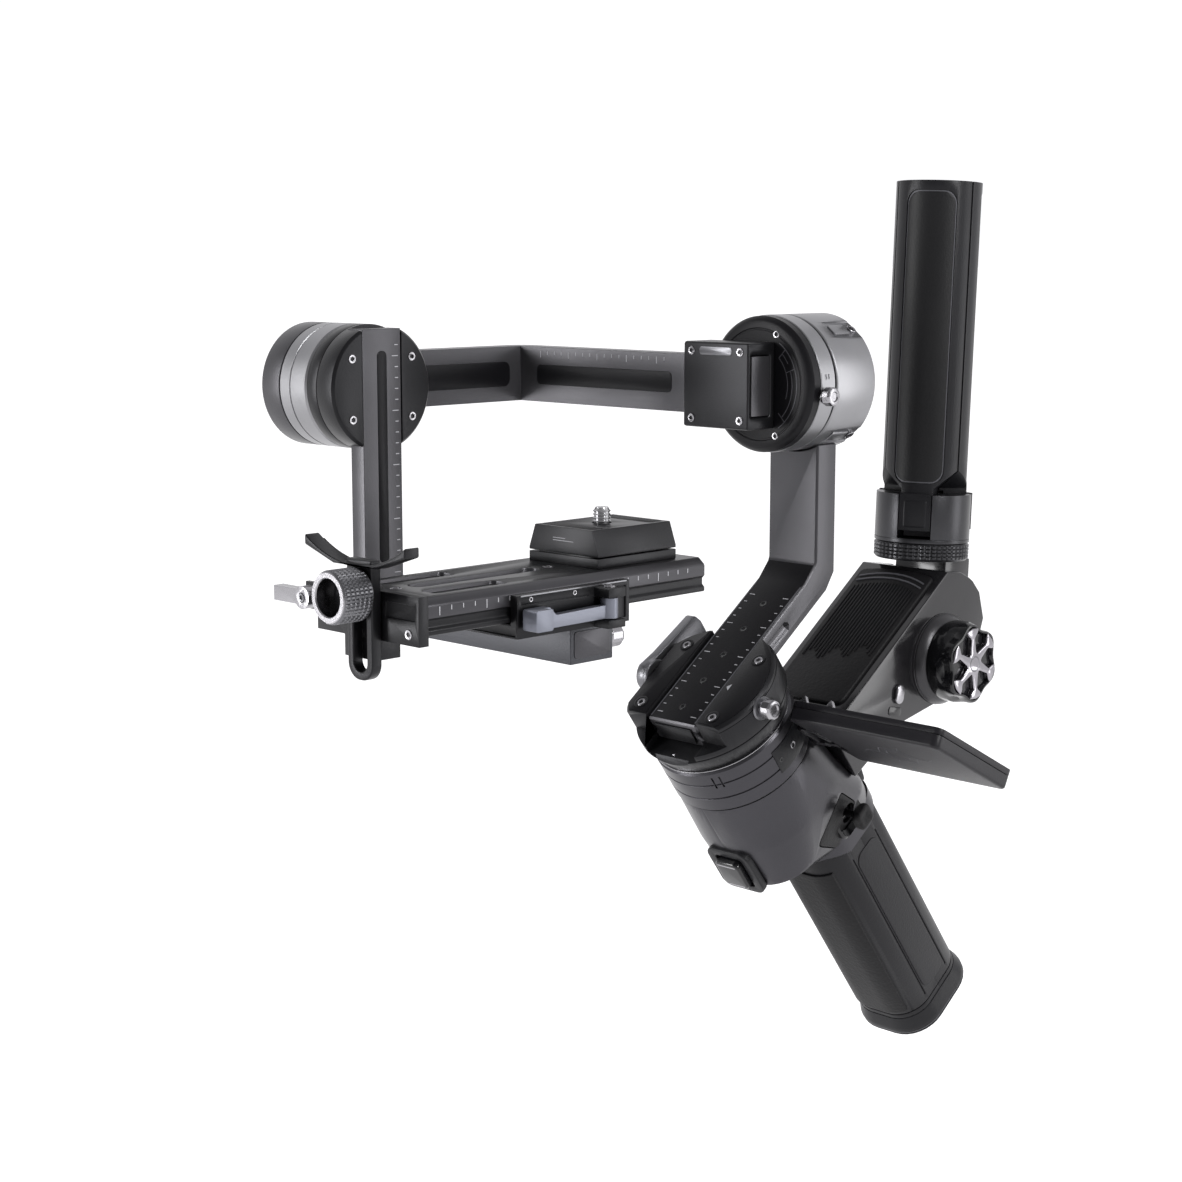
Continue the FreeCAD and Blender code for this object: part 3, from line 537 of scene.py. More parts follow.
def curved_panel(name, turn, half, span, corner, radii, place, paint, body, columns=14):
    """A plate with rounded corners wrapped on a cylinder about Z, centred on an angle."""
    low, high = span
    heights = [low + corner * (1 - math.cos(math.radians(15 * i))) for i in range(7)]
    heights += [high - corner * (1 - math.cos(math.radians(15 * i))) for i in range(6, -1, -1)]
    grids = []
    for radius in radii:
        rows = []
        for height in heights:
            near = min(height - low, high - height)
            short = corner - math.sqrt(max(0.0, corner ** 2 - (corner - near) ** 2)) if near < corner else 0.0
            width = half - short * 0.999
            rows.append([(radius * math.cos(math.radians(turn) + width * (2 * i / columns - 1) / radius),
                          radius * math.sin(math.radians(turn) + width * (2 * i / columns - 1) / radius),
                          height)
                         for i in range(columns + 1)])
        grids.append(rows)
    verts = [point for rows in grids for row in rows for point in row]
    across, layer = columns + 1, len(heights) * (columns + 1)
    faces = []
    for base, order in ((0, 1), (layer, -1)):
        for r in range(len(heights) - 1):
            for c in range(columns):
                quad = (base + r * across + c, base + r * across + c + 1, base + (r + 1) * across + c + 1,
                        base + (r + 1) * across + c)
                faces.append(quad[::order])
    rim = [r * across for r in range(len(heights))]
    rim += [(len(heights) - 1) * across + c for c in range(1, across)]
    rim += [r * across + columns
            for r in range(len(heights) - 2, -1, -1)] + [c for c in range(columns - 1, 0, -1)]
    for first, second in zip(rim, rim[1:] + rim[:1]):
        faces.append((first, second, layer + second, layer + first))
    return piece(name, verts, faces, place, paint, body, 30)


# Shapes that carve() uses up: they are cut out of a piece or welded on, so their paint and body don't show.
TOOL = ("rubber", "handle")


def tool_block(x, y, z, place):
    return block("cutter", x, y, z, place, *TOOL)


def tool_shape(outline, low, high, place):
    return extrude("cutter", outline, low, high, place, *TOOL)


def tool_ring(profile, place, steps=96):
    return lathe("cutter", profile, place, *TOOL, steps)


def tool_bore(radius, low, high, place):
    return disc("cutter", radius, low, high, place, *TOOL)


def tool_hoop(rings, place):
    return hoop("cutter", rings, place, *TOOL)


def groove_ring(radius, low, high, depth, place):
    """A tool for a seam round a drum."""
    outer = radius + 2
    return tool_ring([(radius - depth, low), (outer, low), (outer, high), (radius - depth, high)], place)


# ---------------------------------------------------------------- pan motor, clamp and arm

def pan_motor():
    drum = lathe("pan-drum", [(6, -20.5), (26.8, -20.5), (27.6, -20.2), (28, -19.6), (28, -14.1),
                              (27.6, -13.9),
                              (27.6, -13.5), (28, -13.3), (28, -7.1), (27.6, -6.9), (27.6, -6.5), (28, -6.3),
                              (28, -1.3), (27.3, -0.5), (25.4, -0.5), (25.4, -17.5), (6, -17.5)],
                 moved_frame(PAN, z=-10.5), "shell_satin", "handle", 128)
    slots = [tool_block((-0.35, 0.35), (27.3, 29), (-8.5, -3.0),
                        moved_frame(turned_frame(PAN, turn), z=-10.5)) for turn in (206, 212)]
    finish_piece(carve(drum, *slots), "pan_motor_housing")
    finish_piece(lathe("pan-seam-ring", [(24, 0.0), (27.4, 0.0), (27.7, -0.15), (27.7, -0.4), (24, -0.4)],
                       moved_frame(PAN, z=-10.0), "silver_metal", "pan_rotor"))
    side = facing(PAN, (0, 0, 0), (0, 0, 1), (1, 0, 0))
    panel = extrude("pan-side-panel", arc((0, 0), 28.35, -14, 34, 24) + arc((0, 0), 27.0, 34, -14, 24), -26.5,
                    -15.5,
                    side, "shell_plastic", "handle")
    finish_piece(edge(panel, 0.35, 2))
    # Painted shade: the second of these, the pin, is a gloss black head set where the panel has a hole, standing
    # for the hole's dark inside.
    for name, turn, radius, paint, head in (("screw", 0.12, 1.5, "silver_metal", 0.2),
                                            ("pin", -0.16, 1.0, "gloss_black", 0.15)):
        place = facing(PAN, (28.3 * math.cos(turn), 28.3 * math.sin(turn), -21), (1, turn, 0))
        screw("pan-panel-" + name, place, radius, "handle", paint, head)


def pan_clamp():
    downhill = (0, -0.75, 0.66)
    slope = facing(PAN, (0, -30.5, -1.8), downhill, (1, 0, 0))
    cutters = [tool_block((-8.5, 8.5), (-9, 6), (-3.0, 6), slope),
               groove_ring(30, 6.9, 7.2, 0.35, PAN),
               groove_ring(30, -2.6, -2.2, 0.4, PAN)]
    for turn in (62, 118):
        cutters.append(tool_block((28.6, 34), (-7.5, 7.5), (4.8, 11), turned_frame(PAN, turn)))
    dress("pan_clamp", "black_anodised", 0.45, 2, tools=cutters)
    finish_piece(lathe("pan-clamp-pin", [(0, -1.5), (1.6, -1.5), (1.6, 1.2), (1.2, 1.6), (0, 1.6)],
                       facing(PAN, (0, -25.8, -4.6), downhill), "silver_metal", "pan_rotor", 32))
    rim = [point for point in arc((0, 0), 28.6, -43, 63, 30) if point[0] > 12.9]
    plate = [(12.9, -18.7), (19.5, -18.7)] + rim + [(12.9, rim[-1][1])]
    left = [(-min(x, 23.8), y) for x, y in plate]
    for name, outline in (("pan-top-plate-right", plate), ("pan-top-plate-left", left[::-1])):
        lid = extrude(name, outline, 9.45, 9.75, PAN, "disc_black", "pan_rotor")
        finish_piece(edge(lid, 0.12, 2))
    spots = ((17.5, -15.2), (18.5, 15.0), (-18.5, -14.6), (-18.5, 16.5))
    for index, (x, b) in enumerate(spots, start=1):
        finish_piece(lathe("pan-screw-cup-%d" % index,
                           [(1.9, 0.2), (2.9, 0.2), (2.9, 0.42), (2.5, 0.55), (1.9, 0.45)],
                           moved_frame(PAN, x, b, 9.5), "black_anodised", "pan_rotor", 48))
        screw("pan-screw-%d" % index, moved_frame(PAN, x, b, 9.5), 1.8, "pan_rotor", head=0.45)
    finish_piece(extrude("pan-pointer", [(15.2, -1.6), (15.2, 1.6), (13.6, 0)], 9.74, 9.8, PAN, "mark_white",
                         "pan_rotor"))
    lock_knob("pan-lock-pull", facing(PAN, (30.6, -2.5, 4.5), (1, 0, 0)), 3.8, 5.4, "pan_lock",
              "pan_lock_knob")
    collar = lathe("pan-lock-collar", [(2.4, 0), (4.6, 0), (4.3, 0.8), (2.4, 0.8)],
                   facing(PAN, (29.6, -2.5, 4.5), (1, 0, 0)), "dull_silver", "pan_rotor", 48)
    finish_piece(collar)
    hinge_block = extrude("pan-lever-block",
                          rounded([(-26.6, -4), (-24.6, -4), (-24.6, 14), (-26.6, 14)], 0.6, 3),
                          -3.8, 0.6, PAN, "black_anodised", "pan_rotor")
    finish_piece(edge(hinge_block, 0.3, 2))
    pan_lever()


def pan_lever():
    side = facing(PAN, (-30.2, 0, 0), (1, 0, 0), (0, 1, 0))
    outline = arc((2, 6), 6.4, 100, 262, 22) + [(9, -1.9)] + arc((30.6, 0.4), 2.6, 275, 330, 4) \
        + [(33.6, -0.5), (33.6, 5.0)] + arc((30.4, 7.2), 2.3, 20, 80, 4) + [(9, 11.0)]
    blade = extrude("pan-lever", outline, 0.1, 4.0, side, "dull_silver", "pan_lever")
    hollow = tool_shape(rounded([(10.5, 0.2), (29.4, -0.2), (31, 1), (31, 4.6), (28.6, 6.8), (10.5, 8.4)],
                                1.4),
                        -1, 0.9, side)
    ring = tool_ring([(3.0, 3.0), (6.3, 3.0), (6.3, 5.0), (5.9, 5.4), (3.5, 5.4), (3.0, 5.0)],
                     moved_frame(side, 2, 6), 48)
    made = edge(carve(blade, hollow), 0.6, 3)
    bore = tool_bore(2.9, -1, 9, moved_frame(side, 2, 6))
    made = carve(carve(made, ring, union=True), bore)
    shank = lathe("pan-lever-pin", [(0, 0.4), (2.4, 0.4), (2.5, 0.8), (2.5, 14), (0, 14)],
                  moved_frame(side, 2, 6),
                  "gloss_black", "pan_lever", 48)
    finish_piece(shank)
    finish_piece(made, "pan_clamp_lever")


def pan_arm():
    front_end = tool_block((-14, 14), (-30, -20.4), (-2, 12), PAN)
    made = carve(from_cad("pan_arm", "arm_grey"), front_end)
    made = edge(edge(made, 1.5, 1), 0.3, 2, 25)
    lean = direction("pan_spin")
    # Painted shade: the faces along the pan axis, the arm's top, are painted darker than its sides.
    paint_faces(made, "disc_black", lambda spot, normal: normal.dot(lean) > 0.95)
    finish_piece(made, "pan_arm")
    strips = [((side * 10.9 - 0.3, side * 10.9 + 0.3), (-18.6, 55), (8.45, 8.56)) for side in (-1, 1)]
    finish_piece(slabs("arm-edge-lines", strips, PAN, "line_grey", "pan_arm"))
    ticks = []
    for side in (-1, 1):
        across = tick_marks(17, -16, 4, 4, (side * 2.6, side * 1.3), side * 9.6, (8.45, 8.58))
        ticks += [(x, b, depth) for b, x, depth in across]
    finish_piece(slabs("arm-scale", ticks, PAN, "mark_white", "pan_arm"))
    for index, b in enumerate((-12, 2, 16, 30, 44), start=1):
        screw("arm-screw-%d" % index, moved_frame(PAN, 0, b, 8.5), 1.5, "pan_arm", "gloss_black", head=0.1)
    finish_piece(edge(block("arm-end-stop", (-9, 9), (-20.9, -20.2), (-0.6, 6.4), PAN, "black_anodised",
                            "pan_arm"),
                      0.35, 2))


# ---------------------------------------------------------------- roll motor, roll arm and tilt motor

LUG_TURNS = (52, -52, 128, -128)


def roll_motor():
    drum = lathe("roll-drum", [(6, -24.5), (24.0, -24.5), (25.0, -24.0), (25.8, -22.8), (25.8, -1.0),
                               (25.4, -0.5),
                               (23.2, -0.5), (23.2, -21.5), (6, -21.5)], ROLL, "drum_grey", "pan_arm", 128)
    flats = [tool_shape(round_rect((-4.6, 4.6), (-30, -7.0), 1.4, 4), 24.7, 28,
                        side_on(turned_frame(ROLL, turn)))
             for turn in LUG_TURNS]
    finish_piece(edge(carve(drum, *flats), 0.25, 2), "roll_motor_housing")
    for index, turn in enumerate(LUG_TURNS, start=1):
        spoke = turned_frame(ROLL, turn)
        pad("roll-lug-%d" % index, (-2.6, 2.6), (-18.0, -8.6), 1.0, (24.5, 25.7), side_on(spoke), "drum_grey",
            "pan_arm", 0.4)
        screw("roll-lug-screw-%d" % index, facing(spoke, (24.7, 0, -20.8), (1, 0, 0)), 1.9, "pan_arm",
              head=1.1)
    finish_piece(lathe("roll-back-cover", [(0, 24.4), (19.5, 24.4), (19.5, 24.9), (19.0, 25.3), (12.4, 25.3),
                                           (12.2, 25.0), (11.8, 25.0), (11.6, 25.3), (0, 25.3)],
                       turned_frame(ROLL, 180, "X"), "disc_black", "pan_arm", 96))
    screw_ring("roll-back-screw", turned_frame(ROLL, 180, "X"), 16, 25.3, (45, 135, 225, 315), 1.4, "pan_arm",
               head=0.25)
    ring = lathe("roll-cap-ring", [(0, 0.5), (25.3, 0.5), (25.8, 1.0), (25.8, 8.4), (25.5, 8.8), (0, 8.8)],
                 ROLL,
                 "drum_grey", "roll_rotor", 128)
    finish_piece(ring, "roll_rotor_cap")
    face = lathe("roll-cap-disc",
                 [(0, 8.8), (25.1, 8.8), (25.5, 9.2), (25.5, 12.4), (24.6, 13.6), (23.4, 14.2),
                  (21.2, 14.4), (20.9, 14.2), (20.5, 14.2), (20.2, 14.4), (0, 14.4)], ROLL,
                 "disc_black", "roll_rotor", 128)
    finish_piece(face)
    strokes = [arc((0, 0), radius, start, end, 18) for radius, start, end in
               ((18.6, -58, 58), (16.4, -46, 20), (16.4, 30, 46), (14.2, -20, 46))]
    strokes += [[(18.6 * math.cos(t), 18.6 * math.sin(t)), (14.2 * math.cos(t), 14.2 * math.sin(t))]
                for t in (math.radians(-46), math.radians(46), math.radians(20))]
    finish_piece(line_plate("roll-disc-lines", strokes, 0.32, 14.36, 14.46, ROLL, "line_grey", "roll_rotor"))
    for name, turn in (("roll-disc-screw", 1.15), ("roll-disc-screw-low", -1.15)):
        place = moved_frame(ROLL, 20.6 * math.cos(turn), 20.6 * math.sin(turn), 14.2)
        screw(name, place, 1.4, "roll_rotor", head=0.4)
    lock_knob("roll-lock-pull", facing(ROLL, (26.2, -3.5, 7.5), (1, 0, 0)), 3.6, 4.8, "roll_lock",
              "roll_lock_knob")
    marks = [((-0.9 + shift, -0.6 + shift), (-1.0, 1.0), (-0.1, 0.05)) for shift in (0, 1.6)]
    finish_piece(slabs("roll-ring-marks", marks, facing(ROLL, (25.8, 3.6, 5.0), (1, 0.14, 0)), "mark_white",
                       "roll_rotor"))


def roll_arm():
    dress("roll_clamp", "black_anodised", 1.0)
    front = facing(WORLD, (0, 68, 44.5), (0, -1, 0), (1, 0, 0))
    for index, (x, z) in enumerate(((-20, 12.6), (4, 12.6), (-20, -12.6), (4, -12.6)), start=1):
        screw("roll-clamp-screw-%d" % index, moved_frame(front, x, z), 1.6, "roll_rotor", head=0.4)
    pad("roll-clamp-badge", (-16, 0), (11.2, 14.2), 1.2, (-0.2, 0.25), front, "dull_silver", "roll_rotor",
        0.12)
    made = edge(edge(from_cad("roll_arm", "arm_grey"), 1.4, 1), 0.3, 2, 25)
    finish_piece(made, "roll_arm")
    rear = facing(WORLD, (0, 70, 44.5), (0, -1, 0), (1, 0, 0))
    ticks = tick_marks(18, -104, 4, 4, (2.6, 1.4), 9.4, (-0.05, 0.09))
    finish_piece(slabs("roll-arm-scale", ticks, rear, "mark_white", "roll_arm"))
    pad("roll-arm-inlay", (-106, -32), (-4.0, 4.0), 2.0, (-0.2, 0.22), rear, "disc_black", "roll_arm", 0.15,
        5)
    side = facing(WORLD, (-116, 20, 44.5), (1, 0, 0), (0, 1, 0))
    pad("roll-arm-side-inlay", (-22, 44), (-5, 5), 3.0, (-0.2, 0.25), side, "disc_black", "roll_arm", 0.15, 5)
    outer = facing(WORLD, (-126, -29, 44.5), (-1, 0, 0), (0, 1, 0))
    finish_piece(lathe("tilt-cover",
                       [(0, -0.5), (20.6, -0.5), (20.6, -0.02), (20.2, 0.3), (16.2, 0.3), (16, 0.1),
                        (15.6, 0.1), (15.4, 0.3), (0, 0.3)], moved_frame(outer, z=-0.35),
                       "disc_black",
                       "roll_arm", 96))
    screw_ring("tilt-cover-screw", outer, 18.2, -0.25, (30, 150, 270), 1.3, "roll_arm", head=0.2)


def tilt_stage():
    drum = lathe("tilt-drum", [(6, -16.5), (22.2, -16.5), (23, -15.6), (23, -10.2), (22.6, -10.0),
                               (22.6, -9.6),
                               (23, -9.4), (23, -1.2), (22.4, -0.5), (20.4, -0.5), (20.4, -13.5), (6, -13.5)],
                 TILT,
                 "drum_grey", "roll_arm", 128)
    finish_piece(drum, "tilt_motor_housing")
    dress("tilt_rotor_cap", "black_anodised", 0.45, 2, tools=[groove_ring(23, 5.6, 6.0, 0.4, TILT)])
    for index, (x, y) in enumerate(((-11, 14), (11, 14), (-11, -14), (11, -14)), start=1):
        screw("tilt-cap-screw-%d" % index, moved_frame(TILT, x, y, 15.3), 1.6, "tilt_rotor", head=0.4)
    lock_knob("tilt-lock-pull", facing(TILT, (0, 23.4, 4), (0, 1, 0)), 3.3, 4.6, "tilt_lock",
              "tilt_lock_knob")
    made = edge(from_cad("tilt_arm", "slate_block"), 0.8, 3)
    paint_faces(made, "arm_grey", lambda spot, normal: spot.x < -80)
    finish_piece(made, "tilt_arm")
    face = facing(WORLD, (-84.2, -29, 0), (1, 0, 0), (0, 1, 0))
    ticks = [(x, z, depth) for z, x, depth in tick_marks(22, -24, 4, 5, (2.8, 1.5), 7.6, (-0.05, 0.09))]
    finish_piece(slabs("tilt-arm-scale", ticks, face, "mark_white", "tilt_arm"))
    pad("tilt-arm-inlay", (-2.2, 2.2), (-20, 58), 2.0, (-0.2, 0.2), face, "disc_black", "tilt_arm", 0.12, 5)
    lock_knob("safety-pull", facing(WORLD, (18, -18, -36), (0, 1, 0)), 4.4, 7.0, "safety_knob", "safety_knob")


# ---------------------------------------------------------------- camera stage

def plate_clamp():
    cutters = [tool_block((26.4, 28), (-21.4, -15.8), (-28.4, -17.5), WORLD),
               tool_block((-26, 26), (-70, -65.2), (-29.2, -26.2), WORLD),
               tool_block((26.7, 28), (-64, -34), (-19.2, -18.8), WORLD)]
    dress("plate_clamp", "black_anodised", 0.5, 2, tools=cutters)
    for index, y in enumerate((-60, -40), start=1):
        screw("clamp-screw-%d" % index, facing(WORLD, (27, y, -17.4), (1, 0, 0)), 0.9, "tilt_arm", head=0.25)
    rail = extrude("clamp-rail", [(-64.5, -16.2), (-15.5, -16.2), (-15.5, -15.75), (-64.5, -15.75)], 26.0,
                   27.15,
                   side_on(WORLD), "dull_silver", "tilt_arm")
    finish_piece(rail)
    outline = [(-64.8, -27.0), (-54.6, -27.0), (-32, -26.8), (-27, -26.8), (-27, -22.4), (-32, -22.4),
               (-52.6, -22.9),
               (-55.6, -20.0), (-64.8, -20.0)]
    made = extrude("plate-lever", rounded(outline, 0.7, 2), 28.4, 31.4, side_on(WORLD),
                   "blue_grey_lever", "plate_lever")
    tab = tool_shape(rounded([(-64.8, -27.0), (-57.2, -27.0), (-57.2, -20.0), (-64.8, -20.0)], 0.8, 2), 28.5,
                     34.8, side_on(WORLD))
    eye = tool_ring([(1.7, -26.9), (3.0, -26.9), (3.0, -20.1), (1.7, -20.1)], moved_frame(WORLD, 30.2, -27),
                    48)
    made = edge(carve(made, tab, union=True), 0.5, 3)
    finish_piece(carve(made, eye, union=True), "plate_clamp_lever")
    screw("plate-lever-screw", moved_frame(WORLD, 30.2, -27, -16.5), 2.2, "tilt_arm", head=0.6)
    side = facing(WORLD, (24, -29, -36), (1, 0, 0), (0, 1, 0))
    pad("block-side-cover", (-8.4, 8.4), (-4.6, 4.6), 1.2, (-0.3, 0.35), side, "plate_side", "tilt_arm", 0.2)


def plates():
    half = [(0, -13), (20.6, -13), (23.1, -15.0), (23.5, -15.6), (23.5, -19.3), (22.4, -20.2), (22.4, -22.4),
            (23.5, -23.3), (23.5, -24.6), (23.1, -25), (0, -25)]
    section = half + [(-x, z) for x, z in half[::-1] if x]
    made = extrude("long-plate", section, -28, 101, front_on(WORLD), "plate_side",
                   "plate")
    cutters = [tool_shape(round_rect((-3.6, 3.6), (-88, -32), 3.5, 8), -18, 0, WORLD),
               tool_shape(round_rect((-17, -9), (-92, -60), 2, 5), -14.2, 0, WORLD),
               tool_shape(round_rect((9, 17), (-92, -60), 2, 5), -14.2, 0, WORLD),
               tool_block((-21, 21), (-102, -99.6), (-15.4, -11), WORLD)]
    made = edge(carve(made, *cutters), 0.35, 2)
    # Painted shade: the top faces are painted darker than the sides; the faces below the side groove get the same
    # dark paint.
    paint_faces(made, "plate_black", lambda spot, normal: normal.z > 0.9 or spot.z < -19.6)
    finish_piece(made, "long_plate")
    side = facing(WORLD, (23.5, 0, -17.4), (1, 0, 0), (0, 1, 0))
    ticks = tick_marks(24, -96, 5, 4, (2.8, 1.5), 1.5, (-0.1, 0.06), 0.17)
    finish_piece(slabs("plate-scale", ticks, side, "mark_white", "plate"))
    finish_piece(slabs("plate-scale-far", ticks, facing(WORLD, (-23.5, -70, -17.4), (-1, 0, 0), (0, -1, 0)),
                       "mark_white", "plate"))
    for index, y in enumerate((-94, -26), start=1):
        screw("plate-top-screw-%d" % index, moved_frame(WORLD, 0, y, -13), 2.0, "plate", head=0.2)
    cutters = [tool_shape(round_rect((-12.5, 12.5), span, 1.5, 5), -0.5, 1.0, WORLD)
               for span in ((-17.3, -11.4), (11.4, 17.8))]
    cutters.append(tool_block((-30, 30), (-20, 22), (-9.6, -9.1), WORLD))
    dress("riser_plate", "plate_black", 0.4, 2, tools=cutters)
    core = extrude("riser-core", round_rect((-13.5, 13.5), (-18, 19), 1, 4), -9.9, -8.9, WORLD, "gloss_black",
                   "plate")
    finish_piece(carve(core, tool_bore(8.3, -12, -5, WORLD)))
    for index, span in enumerate(((-17.1, -11.6), (11.6, 17.6)), start=1):
        pad("riser-pad-%d" % index, (-12.3, 12.3), span, 1.4, (-0.5, -0.03), WORLD, "rubber", "plate", 0.15,
            5)
    finish_piece(edge(block("riser-lock", (3.5, 11.5), (19.6, 23.5), (-11.5, -4.5), WORLD, "gloss_black",
                            "plate"),
                      0.6, 3))
    finish_piece(slabs("riser-lines",
                       [((-5, 5), (-0.35, -0.1), (-0.05, 0.05)), ((-5, 1), (0.5, 0.75), (-0.05, 0.05))],
                       facing(WORLD, (0, -19, -4.5), (0, -1, 0), (1, 0, 0)), "mark_white", "plate"))
    thread = [(0, -12.0), (7.4, -12.0), (7.8, -11.6), (7.8, -6.5), (7.4, -6.0), (2.6, -6.0), (2.6, 0.2)]
    for index in range(4):
        thread += [(3.175, 0.6 + index * 1.2), (2.6, 1.2 + index * 1.2)]
    thread += [(2.3, 5.5), (0, 5.5)]
    made = lathe("camera-screw", thread, WORLD, "steel", "camera_screw", 48)
    finish_piece(carve(made, tool_block((-6, 6), (-0.8, 0.8), (-13, -10.5), WORLD)),
                 "camera_screw")


def lens_support():
    notch = tool_block((8, 22), (-106, -104.6), (-20, -15), WORLD)
    dress("lens_bracket", "black_anodised", 0.5, 2, tools=[notch])
    front = facing(WORLD, (0, -105, 0), (0, -1, 0), (1, 0, 0))
    for index, x in enumerate((-21.5, 19), start=1):
        screw("bracket-screw-%d" % index, moved_frame(front, x, -24.4), 1.6, "plate", head=0.35)
    dress("lens_stem", "black_anodised", 0.7)
    lens_middle = (0, 41)
    for index, side in enumerate((-1, 1), start=1):
        near, far = 270 + side * 9, 270 + side * 30
        outline = arc(lens_middle, 44.9, near, far, 10) + arc(lens_middle, 44.62, far, near, 10)
        finish_piece(extrude("cradle-pad-%d" % index, outline, 105.2, 111.0, front_on(WORLD), "rubber",
                             "lens_stem"))
    turn = facing(WORLD, (0, -109.7, -13), (0, -1, 0), (1, 0, 0))
    knurled("lens-knob-grip", turn, 8.7, 6.2, (0.0, 12.0), "lens_knob", "dull_silver", 44, 6, "lens_knob")
    finish_piece(lathe("lens-knob-core",
                       [(0, -8.6), (2.4, -8.6), (2.4, 0.15), (6.3, 0.15), (6.3, 4.8), (3.4, 5.2),
                        (3.0, 6.4), (0, 6.4)], turn, "gloss_black", "lens_knob", 64))
    finish_piece(lathe("lens-knob-rim",
                       [(6.1, 3.0), (6.25, 3.0), (6.4, 11.9), (8.1, 11.9), (7.9, 12.25), (6.4, 12.25),
                        (6.1, 11.8)], turn, "silver_metal", "lens_knob", 96))
    dress("lens_lever", "silver_metal", 0.6)
    screw("lens-lever-screw", facing(WORLD, (-31.5, -108, -18), (0, -1, 0)), 1.5, "plate", "dull_silver",
          head=0.25)


# ---------------------------------------------------------------- body, handle and controls

def handle_ring(grow, height, steps=8):
    """The handle's rounded section, grown outwards, at a height along the handle."""
    outline = round_rect((-17.5 - grow, 17.5 + grow), (-1.5 - grow, 39.5 + grow), 13 + grow, steps)
    return [(x, b, height) for x, b in outline]


def handle_rings(profile):
    """The handle's section at each (grow, height) of a profile."""
    return [handle_ring(grow, height) for grow, height in profile]


# The joystick's place on the body's left side, in the pan frame's Y and Z.
STICK = (16, -74)


def body():
    dress("body_right_shell", "shell_satin", 0.35, 2, 50)
    corners = [(15.5, -60.5), (-5.5, -70.0), (8.5, -88.5), (21.5, -73.0)]
    side = side_on(PAN)
    seam = tool_shape(rounded(corners, 2.2, 4), 15.0, 32.0, side)
    middle = (10.0, -73.0)
    inner = [(middle[0] + (b - middle[0]) * 0.955, middle[1] + (a - middle[1]) * 0.955) for b, a in corners]
    seam = carve(seam, tool_shape(rounded(inner, 2.0, 4), 14.0, 33.0, side))
    made = edge(carve(from_cad("body_left_shell", "shell_satin"), seam), 0.35, 2, 50)
    back_to_pan = PAN.inverted()

    def on_panel(spot, normal):
        x, b, a = (back_to_pan @ (spot * MM)) / MM
        sides = [(q[0] - p[0]) * (a - p[1]) - (q[1] - p[1]) * (b - p[0])
                 for p, q in zip(inner, inner[1:] + inner[:1])]
        return x > 15 and (all(v > -0.4 for v in sides) or all(v < 0.4 for v in sides))

    finish_piece(paint_faces(made, "rubber", on_panel), "body_left_shell")
    bezel_frame = facing(PAN, (0, -28.2, -65), (0, -1, 0), (1, 0, 0))
    bezel = extrude("trigger-bezel", round_rect((-10.5, 10.5), (-11, 11), 4.5, 8), -2.4, 0.5, bezel_frame,
                    "shell_plastic", "handle")
    window = tool_shape(round_rect((-6.5, 6.5), (-7.6, 7.6), 1.2, 4), -5, 3, bezel_frame)
    finish_piece(edge(carve(bezel, window), 0.5, 3))
    made = extrude("front-trigger", round_rect((-6, 6), (-7, 7), 2.6, 6), -5.6, 3.1, bezel_frame,
                   "gloss_black",
                   "trigger")
    finish_piece(edge(made, 1.0, 4), "front_trigger")
    # Painted highlights: two pale strips near the trigger's top and bottom edges, where its rounded edges catch
    # the light.
    lines = [((-4.4, 4.4), (side * 5.3 - 0.3, side * 5.3 + 0.3), (3.05, 3.16)) for side in (-1, 1)]
    finish_piece(slabs("trigger-painted-highlights", lines, bezel_frame, "silver_metal", "trigger"))
    skirt_rings = []
    for grow, height, dip in ((0.9, -82.0, 0), (0.9, -87.5, 1), (0.3, -88.3, 1), (-0.6, -88.3, 1),
                              (-0.6, -82.0, 0)):
        ring = []
        for x, b, _ in handle_ring(grow, 0, 12):
            side_drop = max(0.0, abs(x) / 17.5 - 0.45) * 13.0 * max(0.0, 1 - abs(b - 19) / 18)
            ring.append((x, b, height - dip * side_drop))
        skirt_rings.append(ring)
    finish_piece(hoop("handle-skirt", skirt_rings, PAN, "shell_satin", "handle", 30))
    neck = facing(PAN, (21.4, *STICK), (1, 0, 0.16), (0, 1, 0))
    recess = hoop("joystick-recess",
                  [[(x, y, z) for x, y in round_rect((-w, w), (-w, w), r, 6)] for w, r, z in
                   ((8.2, 3.2, -4.0), (8.2, 3.2, -0.6), (7.4, 3.0, 0.35), (6.7, 2.8, -0.5),
                    (5.6, 2.4, -1.6), (5.6, 2.4, -4.0))], neck, "gloss_black", "handle",
                  30)
    finish_piece(recess)
    stick = facing(PAN, (17, *STICK), (1, 0, 0), (0, 1, 0))
    rings = [circle(1.3, -3.0), circle(1.3, 7.6), circle(2.2, 8.6), circle(4.4, 10.4), circle(5.0, 11.2)]
    for radius, height in ((5.2, 11.8), (5.2, 13.0), (4.6, 13.7), (3.2, 13.9), (1.8, 13.3), (0.02, 13.1)):
        rings.append(ring_of([radius * (1 - 0.10 * math.cos(math.pi * i / 6)) / 1.1 for i in range(48)],
                             height))
    finish_piece(stack("joystick-cap", rings, stick, "rubber", "joystick", 50), "joystick_cap")
    for node, x in (("mode_button", 7), ("power_button", -7)):
        button = facing(PAN, (x, 41, -76), (0, 1, 0), (1, 0, 0))
        finish_piece(lathe(node.replace("_", "-"),
                           [(0, -7), (3.0, -7), (3.0, -0.6), (2.6, -0.1), (1.8, 0), (1.2, -0.3),
                            (0, -0.4)], button, "gloss_black", node, 48), node)
    rear = facing(PAN, (0, 38.6, -76), (0, 1, -0.2), (1, 0, 0))
    panel = extrude("rear-panel", round_rect((-13, 13), (-6, 6), 3, 6), -2.6, 0.7, rear, "shell_plastic",
                    "handle")
    bores = [tool_bore(3.35, -6, 4, moved_frame(rear, side * 7, 0)) for side in (-1, 1)]
    finish_piece(edge(carve(panel, *bores), 0.5, 3))


